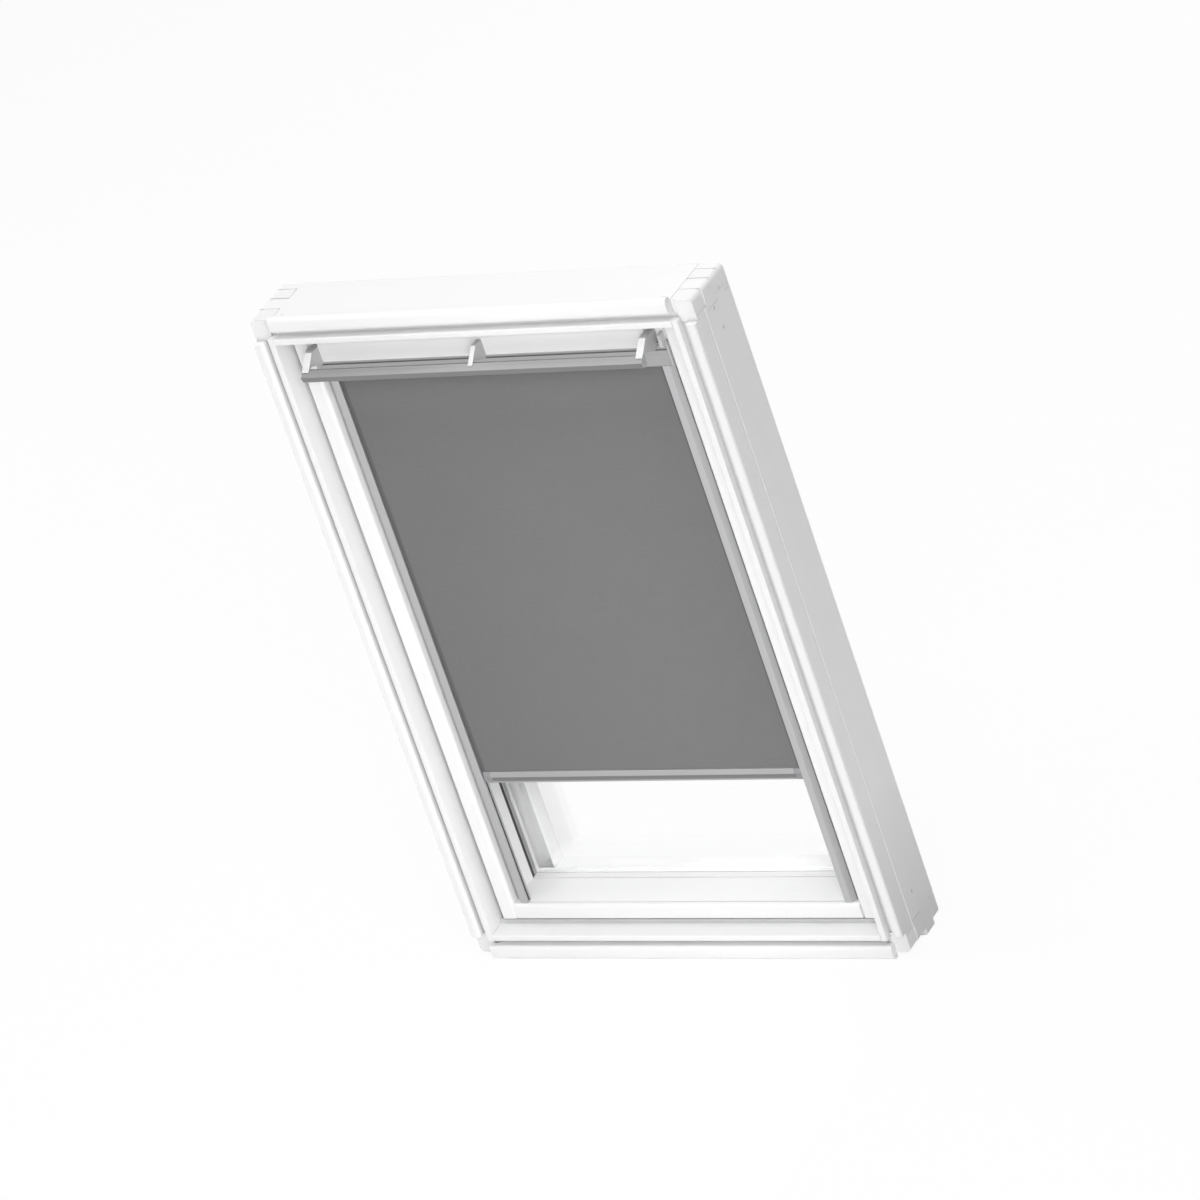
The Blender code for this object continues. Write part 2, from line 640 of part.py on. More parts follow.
def build_covers(sheet, glass_back):
    """Folded metal covers over the sash, hollow towards the glass."""
    skirt = SASH_OUTER - SEAT_GAP - COVER_SHEET
    clear = glass_back + SEAT_GAP
    spill = COVER_ROUND * 2
    end_half = HALF_WIDTH - COVER_SIGHT_INSET - SEAT_GAP
    jobs = (("left", COVER_SIGHT_INSET, skirt, FRAME_HEIGHT - skirt, True),
            ("right", COVER_SIGHT_INSET, skirt, FRAME_HEIGHT - skirt, True),
            ("top", COVER_SIGHT_INSET, -end_half, end_half, False),
            ("bottom", COVER_BOTTOM_INSET, -end_half, end_half, False))
    pieces = []
    for side, sight, start, end, has_end_skirts in jobs:
        cover = block("cover_" + side, (skirt, sight), (COVER_SKIRT_DEPTH, COVER_BACK),
                      (start, end), side, sheet)
        soften(cover, COVER_SHEET * 0.8, 1)
        hollow = block(f"cover_hollow_{side}", (skirt + COVER_SHEET, sight - COVER_SHEET),
                       (COVER_SKIRT_DEPTH - spill, COVER_BACK - COVER_SHEET),
                       (start + COVER_SHEET, end - COVER_SHEET), side)
        reach = -COVER_SHEET if has_end_skirts else spill
        relief = block(f"cover_relief_{side}", (skirt + COVER_SHEET, sight + spill),
                       (COVER_SKIRT_DEPTH - spill, clear), (start - reach, end + reach), side)
        pieces.append(carve(cover, hollow, relief))
    return pieces


def bar_corners():
    """Section of the control bar: flat top, sloping upper face, nose, and a face that leans in."""
    top = FLAP_AXIS_Z + BAR_TOP_RISE
    nose = FLAP_AXIS_Z - BAR_NOSE_DROP
    low = nose - BAR_HEIGHT
    back = -BAR_OUT + BAR_DEPTH
    return [(back, top, 0.002), (BAR_TOP_DEPTH, top, 0.001), (-BAR_OUT, nose, 0.0008),
            (-BAR_OUT + BAR_FACE_LEAN, low, 0.002), (back, low, 0.002)]


def bracket_outline(back_points):
    """Outline of a bracket: a straight front edge down to the bar, then the given back points."""
    top, nose = FLAP_AXIS_Z + BAR_TOP_RISE, FLAP_AXIS_Z - BAR_NOSE_DROP
    slope = (top - nose) / (BAR_TOP_DEPTH + BAR_OUT)
    lift = SEAT_GAP * math.hypot(1.0, slope)
    toe_height = top + slope * (BRACKET_TOE_DEPTH - BAR_TOP_DEPTH) + lift
    return [(BRACKET_TOP_DEPTH, FLAP_AXIS_Z + BRACKET_TOP_RISE), (BRACKET_TOE_DEPTH, toe_height),
            (BAR_TOP_DEPTH, top + lift), (BRACKET_HEEL_DEPTH, top + lift),
            (BRACKET_UNDER_DEPTH, FLAP_AXIS_Z - FLAP_BOSS_RADIUS + SEAT_GAP)] + back_points


def build_flap(paint, bar_metal, plastic, dark_plastic, steel):
    """Ventilation flap with its control bar on three brackets, hinged on a rod."""
    axis = (FLAP_AXIS_DEPTH, FLAP_AXIS_Z)
    front, back = FLAP_AXIS_DEPTH - FLAP_BOSS_RADIUS, FLAP_AXIS_DEPTH + FLAP_BOSS_RADIUS
    top, bottom = FLAP_AXIS_Z + FLAP_RISE, FLAP_AXIS_Z - FLAP_BOSS_RADIUS
    crest = FLAP_AXIS_Z + BRACKET_TOP_RISE
    hole = ROD_RADIUS + ROD_CLEARANCE
    half = HALF_WIDTH - SASH_INNER - FLAP_END_GAP
    spill = BRACKET_THICKNESS
    shell = rounded([(front, FLAP_AXIS_Z), (front, top, FLAP_TOP_ROUND), (back, top, FLAP_TOP_ROUND),
                     (back, FLAP_AXIS_Z)])
    flap = across("flap_panel", shell + arc(axis, FLAP_BOSS_RADIUS, 0, -180, 2 * FINE_ARC)[1:-1],
                  -half, half, paint)
    carve(flap, tube("flap_bore", *axis, hole, 0.0, -half - spill, half + spill))
    bracket_start = half + SEAT_GAP
    bar_half = bracket_start + BRACKET_THICKNESS
    bar = across("control_bar", rounded(bar_corners()), -bar_half, bar_half, bar_metal)
    centre = across("bar_bracket_centre", bracket_outline([(front - SEAT_GAP, bottom + SEAT_GAP),
                                                           (front - SEAT_GAP, crest)]),
                    -CENTRE_BRACKET_THICKNESS / 2, CENTRE_BRACKET_THICKNESS / 2, plastic)
    pieces = [flap, bar, centre]
    side_outline = bracket_outline(arc(axis, FLAP_BOSS_RADIUS, -90, 0, FINE_ARC) + [(back, crest)])
    bearing_end = HALF_WIDTH - SASH_INNER - SEAT_GAP
    bearing_start = bearing_end - BEARING_THICKNESS
    bearing_back, bearing_top = SASH_FRONT - SEAT_GAP, FLAP_AXIS_Z + BEARING_RISE
    bearing_outline = rounded([(bearing_back, bottom), (bearing_back, bearing_top),
                               (front, bearing_top, 0.003), (front, bottom, 0.004)])
    bearings = []
    for side, sign in (("left", -1), ("right", 1)):
        bracket = across("bar_bracket_" + side, side_outline,
                         *sorted((sign * bracket_start, sign * bar_half)), plastic)
        carve(bracket, tube(f"bracket_bore_{side}", *axis, hole, 0.0,
                            *sorted((sign * (bracket_start - spill), sign * (bar_half + spill)))))
        pieces.append(bracket)
        bearing = across("rod_bearing_" + side, bearing_outline,
                         *sorted((sign * bearing_start, sign * bearing_end)), dark_plastic)
        carve(bearing, tube(f"bearing_bore_{side}", *axis, hole, 0.0,
                            *sorted((sign * (bearing_start - spill), sign * (bearing_end + spill)))))
        bearings.append(bearing)
    rod = tube("flap_rod", *axis, ROD_RADIUS, 0.0, -bearing_end, bearing_end, steel)
    pieces.append(smooth(rod))
    return pieces, bearings


def build_vent_filter(foam):
    """Strip of filter foam in the vent slot behind the flap."""
    middle = FRAME_HEIGHT - VENT_INSET
    half_height = VENT_HEIGHT / 2 - SEAT_GAP
    half = HALF_WIDTH - VENT_END_INSET - SEAT_GAP
    return slab("vent_filter", (-half, half), (SASH_FRONT + 0.002, SASH_FRONT + VENT_DEPTH - SEAT_GAP),
                (middle - half_height, middle + half_height), foam)


def build_latch(steel):
    """Latch case on the sash, its sliding bolt, and the striker plate on the frame."""
    sash_top = FRAME_HEIGHT - SASH_OUTER
    half_length, half_width = LATCH_CASE_LENGTH / 2, LATCH_CASE_WIDTH / 2
    half_bolt = BOLT_LENGTH / 2
    depths = (PIVOT_DEPTH - half_width, PIVOT_DEPTH + half_width)
    case = slab("latch_case", (-half_length, half_length), depths,
                (sash_top + SEAT_GAP, sash_top + SEAT_GAP + LATCH_CASE_HEIGHT), steel)
    opening = half_bolt + SEAT_GAP
    carve(case, slab("latch_case_hole", (-opening, opening), (PIVOT_DEPTH - opening, PIVOT_DEPTH + opening),
                     (sash_top - BOLT_STEM, sash_top + 2 * LATCH_CASE_HEIGHT)))
    bolt_top = sash_top + SEAT_GAP + LATCH_CASE_HEIGHT + BOLT_RISE
    bolt = across("latch_bolt", rounded([
        (PIVOT_DEPTH - half_bolt, sash_top - BOLT_STEM + SEAT_GAP), (PIVOT_DEPTH + half_bolt,
                                                                  sash_top - BOLT_STEM + SEAT_GAP),
        (PIVOT_DEPTH + half_bolt, bolt_top, 0.0015), (PIVOT_DEPTH - half_bolt, bolt_top, 0.0015)]),
        -half_bolt, half_bolt, steel)
    underside = FRAME_HEIGHT - MEMBER_WIDTH - SEAT_GAP
    striker = slab("striker_plate", (-half_length, half_length), depths,
                   (underside - STRIKER_PLATE, underside), steel)
    carve(striker, slab("striker_hole", (-half_bolt - 0.002, half_bolt + 0.002),
                        (PIVOT_DEPTH - half_bolt - 0.002, PIVOT_DEPTH + half_bolt + 0.002),
                        (underside - 3 * STRIKER_PLATE, underside + STRIKER_PLATE)))
    return case, bolt


def build_casing(aluminium, plastic, steel):
    """Blind casing: a folded aluminium housing with a fabric slot, closed by two end plates."""
    front, back = CASING_FRONT, CASING_FRONT + CASING_DEPTH
    low, high, wall = CASING_BOTTOM, CASING_TOP, CASING_WALL
    seam = high - CASING_SEAM_DROP
    slot_front = FABRIC_DEPTH - 0.0018
    slot_back = FABRIC_DEPTH + FABRIC_THICKNESS + 0.0018
    shelf = front + 2 * wall
    outline = rounded([
        (slot_front, low), (front, low, CASING_FOOT_ROUND),
        (front, seam - CASING_SEAM / 2), (front + wall, seam - CASING_SEAM / 2),
        (front + wall, seam + CASING_SEAM / 2), (front, seam + CASING_SEAM / 2),
        (front, high, 0.004), (back, high, 0.003), (back, low, 0.003), (slot_back, low),
        (slot_back, low + wall), (back - wall, low + wall, 0.0015), (back - wall, high - wall, 0.0015),
        (shelf, high - wall, 0.0015), (shelf, low + wall), (slot_front, low + wall)], 2)
    half = HALF_WIDTH - SASH_INNER - 0.0045
    casing = across("blind_casing", outline, -half, half, aluminium)
    pieces = [casing]
    end_outline = rounded([(front, low, CASING_FOOT_ROUND), (front, high, 0.004), (back, high, 0.003),
                           (back, low, 0.003)], 2)
    for side, sign in (("left", -1), ("right", 1)):
        inner = sign * (half + SEAT_GAP)
        outer = inner + sign * CASING_END
        plate = across("casing_end_" + side, end_outline, *sorted((inner, outer)), plastic)
        tip = inner - sign * ROLLER_PIN_LENGTH
        fuse(plate, tube(f"casing_pin_{side}", ROLLER_DEPTH, ROLLER_Z, ROLLER_PIN_RADIUS, 0.0,
                         *sorted((outer - sign * CASING_END / 2, tip))))
        pieces.append(plate)
        middle = sign * CASING_CLIP_OFFSET
        reach = CASING_CLIP_LENGTH / 2
        clip = slab("casing_clip_" + side, (middle - reach, middle + reach), (front + 0.006, back - 0.004),
                    (high + SEAT_GAP, high + CASING_TOP_GAP - SEAT_GAP), steel)
        pieces.append(clip)
    return pieces, half


def build_roller(aluminium, plastic, steel, fabric, casing_half):
    """Roller: tube, idler plug, spring cartridge, and the fabric wound on the tube."""
    tube_half = casing_half - ROLLER_PIN_LENGTH / 2 - 0.004
    bore = ROLLER_RADIUS - ROLLER_WALL
    hole = ROLLER_PIN_RADIUS + SEAT_GAP
    place = (ROLLER_DEPTH, ROLLER_Z)
    barrel = smooth(tube("roller_tube", *place, ROLLER_RADIUS, bore, -tube_half, tube_half, aluminium))
    plug = smooth(tube("roller_idler_plug", *place, bore - SEAT_GAP, hole, -tube_half,
                       -tube_half + PLUG_LENGTH, plastic))
    spring = smooth(tube("roller_spring_cartridge", *place, bore - SEAT_GAP, hole,
                         tube_half - SPRING_LENGTH, tube_half, steel))
    fabric_half = HALF_WIDTH - FABRIC_EDGE_INSET
    wound = smooth(tube("fabric_roll", *place, ROLL_RADIUS, ROLLER_RADIUS + SEAT_GAP,
                        -fabric_half, fabric_half, fabric))
    return [barrel, plug, spring, wound]


def bottom_bar_outline():
    """Section of the bottom bar: a leaning lip above, a shaded hollow under it, and a toe."""
    front = CHANNEL_FRONT + 0.0017
    back, hollow = front + BAR_THICKNESS, front + BAR_LIP_OUT
    lip = BAR_TOP - BAR_LIP_HEIGHT
    return rounded([(front + 0.0028, BAR_TOP, 0.001), (back, BAR_TOP, 0.001),
                    (back, BAR_BOTTOM, 0.001), (front + 0.0022, BAR_BOTTOM, 0.001),
                    (hollow, BAR_BOTTOM + BAR_TOE_HEIGHT, 0.001), (hollow, lip - 0.001),
                    (front, lip, 0.001)], 2)


def build_curtain(fabric, bar_metal, plastic):
    """Fabric panel, the bar along its lower edge, and the glides that run in the channels."""
    fabric_half = HALF_WIDTH - FABRIC_EDGE_INSET
    fabric_back = FABRIC_DEPTH + FABRIC_THICKNESS
    panel = slab("fabric_panel", (-fabric_half, fabric_half), (FABRIC_DEPTH, fabric_back),
                 (BAR_TOP + SEAT_GAP, ROLLER_Z), fabric)
    half = HALF_WIDTH - BOTTOM_BAR_END_INSET
    bar = across("bottom_bar", bottom_bar_outline(), -half, half, bar_metal)
    moving = [bar]
    tongue_front = CHANNEL_FRONT + CHANNEL_LIP + GLIDE_CLEARANCE
    tongue_back = CHANNEL_FRONT + CHANNEL_LIP + CHANNEL_SLOT - GLIDE_CLEARANCE
    for side, sign in (("left", -1), ("right", 1)):
        start = sign * (half + SEAT_GAP)
        shoulder = sign * (HALF_WIDTH - CHANNEL_SIGHT_INSET - 5 * GLIDE_CLEARANCE)
        glide = across("bar_glide_" + side, bottom_bar_outline(), *sorted((start, shoulder)), plastic)
        tongue = sorted((shoulder - sign * 0.003, shoulder + sign * GLIDE_TONGUE))
        fuse(glide, slab(f"glide_tongue_{side}", tongue, (tongue_front, tongue_back),
                         (BAR_BOTTOM + 0.002, BAR_TOP - 0.002)))
        moving.append(glide)
    return panel, moving


def channel_outline():
    """Section of a side channel: bevelled face, fabric slot, and a foot along the sash."""
    sight = CHANNEL_SIGHT_INSET
    face_start = sight - CHANNEL_FACE
    heel = face_start - CHANNEL_BEVEL
    slot_front = CHANNEL_FRONT + CHANNEL_LIP
    slot_back = slot_front + CHANNEL_SLOT
    rear = slot_back + CHANNEL_REAR
    wall = SASH_INNER + SEAT_GAP
    sheet = 0.0016
    return rounded([(heel, CHANNEL_FRONT + CHANNEL_BEVEL), (face_start, CHANNEL_FRONT, 0.001),
                    (sight, CHANNEL_FRONT, 0.0008), (sight, slot_front),
                    (sight - CHANNEL_SLOT_DEPTH, slot_front), (sight - CHANNEL_SLOT_DEPTH, slot_back),
                    (sight, slot_back), (sight, rear, 0.001), (heel + 2 * sheet, rear),
                    (heel + 2 * sheet, rear + 2 * sheet), (wall + sheet, rear + 2 * sheet),
                    (wall + sheet, CHANNEL_FOOT_DEPTH), (wall, CHANNEL_FOOT_DEPTH), (wall, rear),
                    (heel, rear)], 2)


def build_channels(aluminium, steel):
    """Side channels and the screws that hold their feet to the sash."""
    pieces = []
    bottom = SASH_INNER + SEAT_GAP
    top = CASING_BOTTOM - SEAT_GAP
    head = SASH_INNER + SEAT_GAP + 0.0016 + SEAT_GAP
    screw_depth = CHANNEL_FOOT_DEPTH - 0.0055
    lowest, highest = bottom + SCREW_END_OFFSET, top - SCREW_END_OFFSET
    screw_heights = (lowest, (lowest + highest) / 2, highest)
    for side, sign in (("left", -1), ("right", 1)):
        pieces.append(run("side_channel_" + side, side, channel_outline(), (bottom, top), aluminium))
        x = sign * (HALF_WIDTH - head)
        crown = x - sign * SCREW_HEAD_HEIGHT
        for place, height in zip(("lower", "middle", "upper"), screw_heights):
            pieces.append(tube(f"channel_screw_{place}_{side}", screw_depth, height, SCREW_HEAD_RADIUS, 0.0,
                               *sorted((x, crown)), steel))
    return pieces


def main():
    """Build the window, the blind and the empties that the moving pieces hang from."""
    clear_scene()
    paint = finish("white_painted_pine", (0.86, 0.86, 0.86), 0.42)
    rubber = finish("black_rubber", (0.03, 0.03, 0.03), 0.7)
    glass = finish("clear_glass", (0.92, 0.96, 0.95), 0.05, alpha=0.3)
    aluminium = finish("anodised_aluminium", (0.55, 0.55, 0.56), 0.38, 0.9)
    bar_metal = finish("bar_aluminium", (0.66, 0.66, 0.67), 0.32, 0.9)
    sheet = finish("cover_sheet", (0.80, 0.80, 0.79), 0.45, 0.2)
    steel = finish("zinc_steel", (0.50, 0.51, 0.52), 0.4, 0.9)
    plastic = finish("grey_plastic", (0.25, 0.25, 0.26), 0.5)
    white_plastic = finish("white_plastic", (0.84, 0.84, 0.84), 0.4)
    fabric = finish("blackout_fabric", (0.21, 0.21, 0.21), 0.85)
    foam = finish("filter_foam", (0.12, 0.12, 0.12), 0.95)

    build_frame(paint)
    build_seals(rubber)
    build_sill_seal(rubber)
    arms = build_pivots(steel)
    sash = build_sash(paint)
    glazing, glass_back = build_glazing(rubber, glass, aluminium)
    covers = build_covers(sheet, glass_back)
    flap, bearings = build_flap(paint, bar_metal, white_plastic, plastic, steel)
    filter_strip = build_vent_filter(foam)
    case, bolt = build_latch(steel)
    casing, casing_half = build_casing(aluminium, plastic, steel)
    roller = build_roller(aluminium, plastic, steel, fabric, casing_half)
    panel, bottom = build_curtain(fabric, bar_metal, plastic)
    channels = build_channels(aluminium, steel)

    pivot_y = FRONT_Y + PIVOT_DEPTH
    sash_pivot = pivot_point("sash_pivot_axis", (0.0, pivot_y, PIVOT_Z))
    hang(sash_pivot, *arms, *sash, *glazing, *covers, *bearings, filter_strip, case, *casing,
         *channels, panel)
    flap_pivot = pivot_point("flap_axis", (0.0, FRONT_Y + FLAP_AXIS_DEPTH, FLAP_AXIS_Z))
    bolt_slide = pivot_point("bolt_slide", bolt.location)
    roller_pivot = pivot_point("roller_axis", (0.0, FRONT_Y + ROLLER_DEPTH, ROLLER_Z))
    bar_slide = pivot_point("bar_slide", bottom[0].location)
    hang(sash_pivot, flap_pivot, bolt_slide, roller_pivot, bar_slide)
    hang(flap_pivot, *flap)
    hang(bolt_slide, bolt)
    hang(roller_pivot, *roller)
    hang(bar_slide, *bottom)


main()
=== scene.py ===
"""Looks of a centre-pivot roof window with its blackout roller blind.

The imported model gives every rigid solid. This script dresses those solids, builds the cloth, the
foam, the wound fabric, the trim and the fasteners, and sets up the floor, the lamps and the camera.
Sizes are in metres. X runs across the window, Z runs up it, and the room is at -Y.
"""
import logging
import math
from abc import ABC, abstractmethod
from contextlib import contextmanager
from dataclasses import dataclass
from enum import Enum
from typing import Callable, ClassVar, Iterable, Iterator, Sequence

import bmesh
import bpy
from mathutils import Matrix, Vector


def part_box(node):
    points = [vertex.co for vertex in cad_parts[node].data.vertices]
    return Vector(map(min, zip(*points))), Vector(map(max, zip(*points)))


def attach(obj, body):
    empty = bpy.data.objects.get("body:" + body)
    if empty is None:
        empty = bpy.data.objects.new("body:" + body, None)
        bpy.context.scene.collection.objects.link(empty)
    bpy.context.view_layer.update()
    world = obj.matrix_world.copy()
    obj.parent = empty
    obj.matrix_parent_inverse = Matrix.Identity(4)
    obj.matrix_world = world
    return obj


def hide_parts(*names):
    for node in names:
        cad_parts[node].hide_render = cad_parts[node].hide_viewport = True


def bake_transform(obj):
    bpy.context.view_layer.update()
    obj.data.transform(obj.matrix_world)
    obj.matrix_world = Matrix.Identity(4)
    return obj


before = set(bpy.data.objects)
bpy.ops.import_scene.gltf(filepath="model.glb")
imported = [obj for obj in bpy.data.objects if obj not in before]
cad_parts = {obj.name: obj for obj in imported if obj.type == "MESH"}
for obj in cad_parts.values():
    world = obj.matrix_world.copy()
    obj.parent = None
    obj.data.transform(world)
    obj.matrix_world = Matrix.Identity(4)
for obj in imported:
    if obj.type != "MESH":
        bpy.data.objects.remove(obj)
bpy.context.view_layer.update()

LOG = logging.getLogger("roof_window")
TOUCH = 1e-5
DOWNWARD = -0.9
CORNERS = ((-1, -1), (-1, 1), (1, -1), (1, 1))

Colour = tuple[float, float, float]
Place = tuple[float, float, float]
Socket = bpy.types.NodeSocket
Piece = bpy.types.Object
Material = bpy.types.Material


class Body(Enum):
    """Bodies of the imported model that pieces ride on."""

    FRAME = "frame"
    SASH = "sash"
    FLAP = "flap"
    ROLLER = "roller"
    BLIND_BAR = "blind_bar"


class Run(Enum):
    """Direction that a length of wood, sheet or extrusion runs in."""

    ACROSS = "x"
    UP = "z"

    def stretch(self, along: float, across: float) -> Place:
        """Return the scales of a pattern that is drawn out along the run."""
        return (along, across, across) if self is Run.ACROSS else (across, across, along)


class Facing(Enum):
    """Direction that a fastener's head points in."""

    LEFT = (-1.0, 0.0, 0.0)
    RIGHT = (1.0, 0.0, 0.0)
    UP = (0.0, 0.0, 1.0)
    DOWN = (0.0, 0.0, -1.0)


def dimmed(colour: Colour, share: float) -> Colour:
    """Return a share of a colour."""
    return tuple(channel * share for channel in colour)


class Bench:
    """Node tree with short ways to add, join and work out values."""

    def __init__(self, tree: bpy.types.NodeTree) -> None:
        """Open a node tree."""
        self.tree = tree

    def add(self, kind: str, **values: float | Sequence[float]) -> bpy.types.Node:
        """Add a node.

        Args:
            kind: Kind of the node.
            values: Socket names, with underscores for spaces, and their values.

        Returns:
            The node.
        """
        node = self.tree.nodes.new(kind)
        for label, value in values.items():
            node.inputs[label.replace("_", " ")].default_value = value
        return node

    def link(self, source: Socket, target: Socket) -> None:
        """Join one socket to another."""
        self.tree.links.new(source, target)

    def sums(self, operation: str, first: Socket, second: Socket | float) -> Socket:
        """Work on two values with a Math node.

        Args:
            operation: Name of the operation.
            first: A socket.
            second: A socket or a number.

        Returns:
            The result.
        """
        node = self.add("ShaderNodeMath")
        node.operation = operation
        self.link(first, node.inputs[0])
        if isinstance(second, (int, float)):
            node.inputs[1].default_value = second
        else:
            self.link(second, node.inputs[1])
        return node.outputs["Value"]

    def times(self, first: Socket, second: Socket | float) -> Socket:
        """Multiply two values."""
        return self.sums("MULTIPLY", first, second)

    def spread(self, factor: Socket, low: float, high: float, start: float = 0.3,
               end: float = 0.7) -> Socket:
        """Map a pattern from start to end onto low to high.

        Args:
            factor: The pattern.
            low: Value at the start.
            high: Value at the end.
            start: Pattern value that gives the low value.
            end: Pattern value that gives the high value.

        Returns:
            The mapped value.
        """
        node = self.add("ShaderNodeMapRange", From_Min=start, From_Max=end, To_Min=low, To_Max=high)
        self.link(factor, node.inputs["Value"])
        return node.outputs["Result"]


class Shader(Bench):
    """Bench for one material, with a Principled shader already in place."""

    EDGE_SAMPLES = 4
    MIX_FACTOR = 0
    MIX_FIRST = 6
    MIX_SECOND = 7
    MIX_RESULT = 2

    def __init__(self, name: str) -> None:
        """Start a material.

        Args:
            name: Name of the material.
        """
        self.material = bpy.data.materials.new(name)
        self.material.use_nodes = True
        super().__init__(self.material.node_tree)
        self.principled = self.tree.nodes["Principled BSDF"]

    def fix(self, **values: float | Sequence[float]) -> None:
        """Set plain values on the Principled shader's sockets, underscores standing for spaces."""
        for label, value in values.items():
            self.principled.inputs[label.replace("_", " ")].default_value = value

    def feed(self, label: str, source: Socket) -> None:
        """Join a socket to one of the Principled shader's inputs."""
        self.link(source, self.principled.inputs[label])

    def coordinates(self, stretch: Place = (1.0, 1.0, 1.0), output: str = "Object") -> Socket:
        """Read the piece's coordinates through a Mapping node.

        Args:
            stretch: Scale along each axis.
            output: Output of the Texture Coordinate node, Object or UV.

        Returns:
            The scaled coordinates.
        """
        mapping = self.add("ShaderNodeMapping", Scale=stretch)
        self.link(self.add("ShaderNodeTexCoord").outputs[output], mapping.inputs["Vector"])
        return mapping.outputs["Vector"]

    def noise(self, coordinates: Socket, scale: float = 1.0, detail: float = 3.0,
              roughness: float = 0.55, distortion: float = 0.0) -> Socket:
        """Make a noise pattern.

        Args:
            coordinates: Where the pattern is read.
            scale: Cells per metre.
            detail: Octaves.
            roughness: Weight of the finer octaves.
            distortion: How far the pattern is warped.

        Returns:
            The pattern, from 0 to 1.
        """
        node = self.add("ShaderNodeTexNoise", Scale=scale, Detail=detail, Roughness=roughness,
                        Distortion=distortion)
        self.link(coordinates, node.inputs["Vector"])
        return node.outputs["Fac"]

    def cells(self, coordinates: Socket, scale: float, output: str) -> Socket:
        """Make a Voronoi pattern.

        Args:
            coordinates: Where the pattern is read.
            scale: Cells per metre.
            output: Output of the node, Distance or Color.

        Returns:
            The pattern.
        """
        node = self.add("ShaderNodeTexVoronoi", Scale=scale)
        self.link(coordinates, node.inputs["Vector"])
        return node.outputs[output]

    def bands(self, coordinates: Socket, scale: float, direction: str, distortion: float) -> Socket:
        """Make a sine wave across one axis.

        Args:
            coordinates: Where the pattern is read.
            scale: Scale of the wave.
            direction: X, Y or Z.
            distortion: How far the wave is warped.

        Returns:
            The pattern, from 0 to 1.
        """
        node = self.add("ShaderNodeTexWave", Scale=scale, Distortion=distortion, Detail_Scale=2.0)
        node.wave_type = "BANDS"
        node.bands_direction = direction
        self.link(coordinates, node.inputs["Vector"])
        return node.outputs["Fac"]

    def blend(self, factor: Socket, first: Socket | Colour, second: Socket | Colour) -> Socket:
        """Mix two colours by a pattern.

        Args:
            factor: How much of the second colour shows.
            first: A socket or a plain colour.
            second: A socket or a plain colour.

        Returns:
            The mixed colour.
        """
        node = self.add("ShaderNodeMix")
        node.data_type = "RGBA"
        self.link(factor, node.inputs[self.MIX_FACTOR])
        for slot, value in ((self.MIX_FIRST, first), (self.MIX_SECOND, second)):
            if isinstance(value, tuple):
                node.inputs[slot].default_value = (*value, 1.0)
            else:
                self.link(value, node.inputs[slot])
        return node.outputs[self.MIX_RESULT]

    def eased_edges(self, radius: float) -> Socket:
        """Round the sharp edges of the solids under the light.

        Args:
            radius: Radius of the rounding.

        Returns:
            The rounded normal.
        """
        node = self.add("ShaderNodeBevel", Radius=radius)
        node.samples = self.EDGE_SAMPLES
        return node.outputs["Normal"]

    def worn_edges(self, eased: Socket) -> Socket:
        """Find the edges, where the eased normal leaves the flat one.

        Args:
            eased: The rounded normal.

        Returns:
            A mask that is 1 on the edges.
        """
        dot = self.add("ShaderNodeVectorMath")
        dot.operation = "DOT_PRODUCT"
        self.link(eased, dot.inputs[0])
        self.link(self.add("ShaderNodeNewGeometry").outputs["Normal"], dot.inputs[1])
        return self.spread(dot.outputs["Value"], low=1.0, high=0.0, start=0.80, end=0.99)

    def part(self, vector: Socket, axis: str, size_only: bool = False) -> Socket:
        """Take one part of a vector.

        Args:
            vector: The vector.
            axis: X, Y or Z.
            size_only: Whether the sign is dropped.

        Returns:
            The part.
        """
        split = self.add("ShaderNodeSeparateXYZ")
        self.link(vector, split.inputs["Vector"])
        if not size_only:
            return split.outputs[axis]
        size = self.add("ShaderNodeMath")
        size.operation = "ABSOLUTE"
        self.link(split.outputs[axis], size.inputs[0])
        return size.outputs["Value"]

    def own_normal(self) -> Socket:
        """Return the normal in the object's own axes."""
        return self.add("ShaderNodeTexCoord").outputs["Normal"]

    def square_to(self, axis: str) -> Socket:
        """Return a mask that is 1 on the faces square to one of the object's own axes, either way."""
        size = self.part(self.own_normal(), axis, size_only=True)
        return self.spread(size, low=0.0, high=1.0, start=0.90, end=0.98)

    def toward_room(self) -> Socket:
        """Return a mask that is 1 on the faces that look at the room."""
        return self.spread(self.part(self.own_normal(), "Y"), low=1.0, high=0.0, start=-0.70, end=-0.50)

    def hollow_shade(self, reach: float) -> Socket:
        """Find the grooves and the inner corners of the piece itself, where shade is painted.

        Args:
            reach: How far off a wall still counts.

        Returns:
            A mask that is 1 deep in a groove.
        """
        node = self.add("ShaderNodeAmbientOcclusion", Distance=reach)
        node.samples = self.EDGE_SAMPLES
        node.only_local = True
        return self.spread(node.outputs["AO"], low=1.0, high=0.0, start=0.30, end=0.92)

    def open_to_lamps(self, tint: Colour) -> None:
        """Let lamp light straight through, as a thin pane does.

        Args:
            tint: Share of each colour that one face passes.
        """
        mixer = self.add("ShaderNodeMixShader")
        clear = self.add("ShaderNodeBsdfTransparent", Color=(*tint, 1.0))
        self.link(self.add("ShaderNodeLightPath").outputs["Is Shadow Ray"], mixer.inputs["Fac"])
        self.link(self.principled.outputs["BSDF"], mixer.inputs[1])
        self.link(clear.outputs["BSDF"], mixer.inputs[2])
        self.link(mixer.outputs["Shader"], self.tree.nodes["Material Output"].inputs["Surface"])

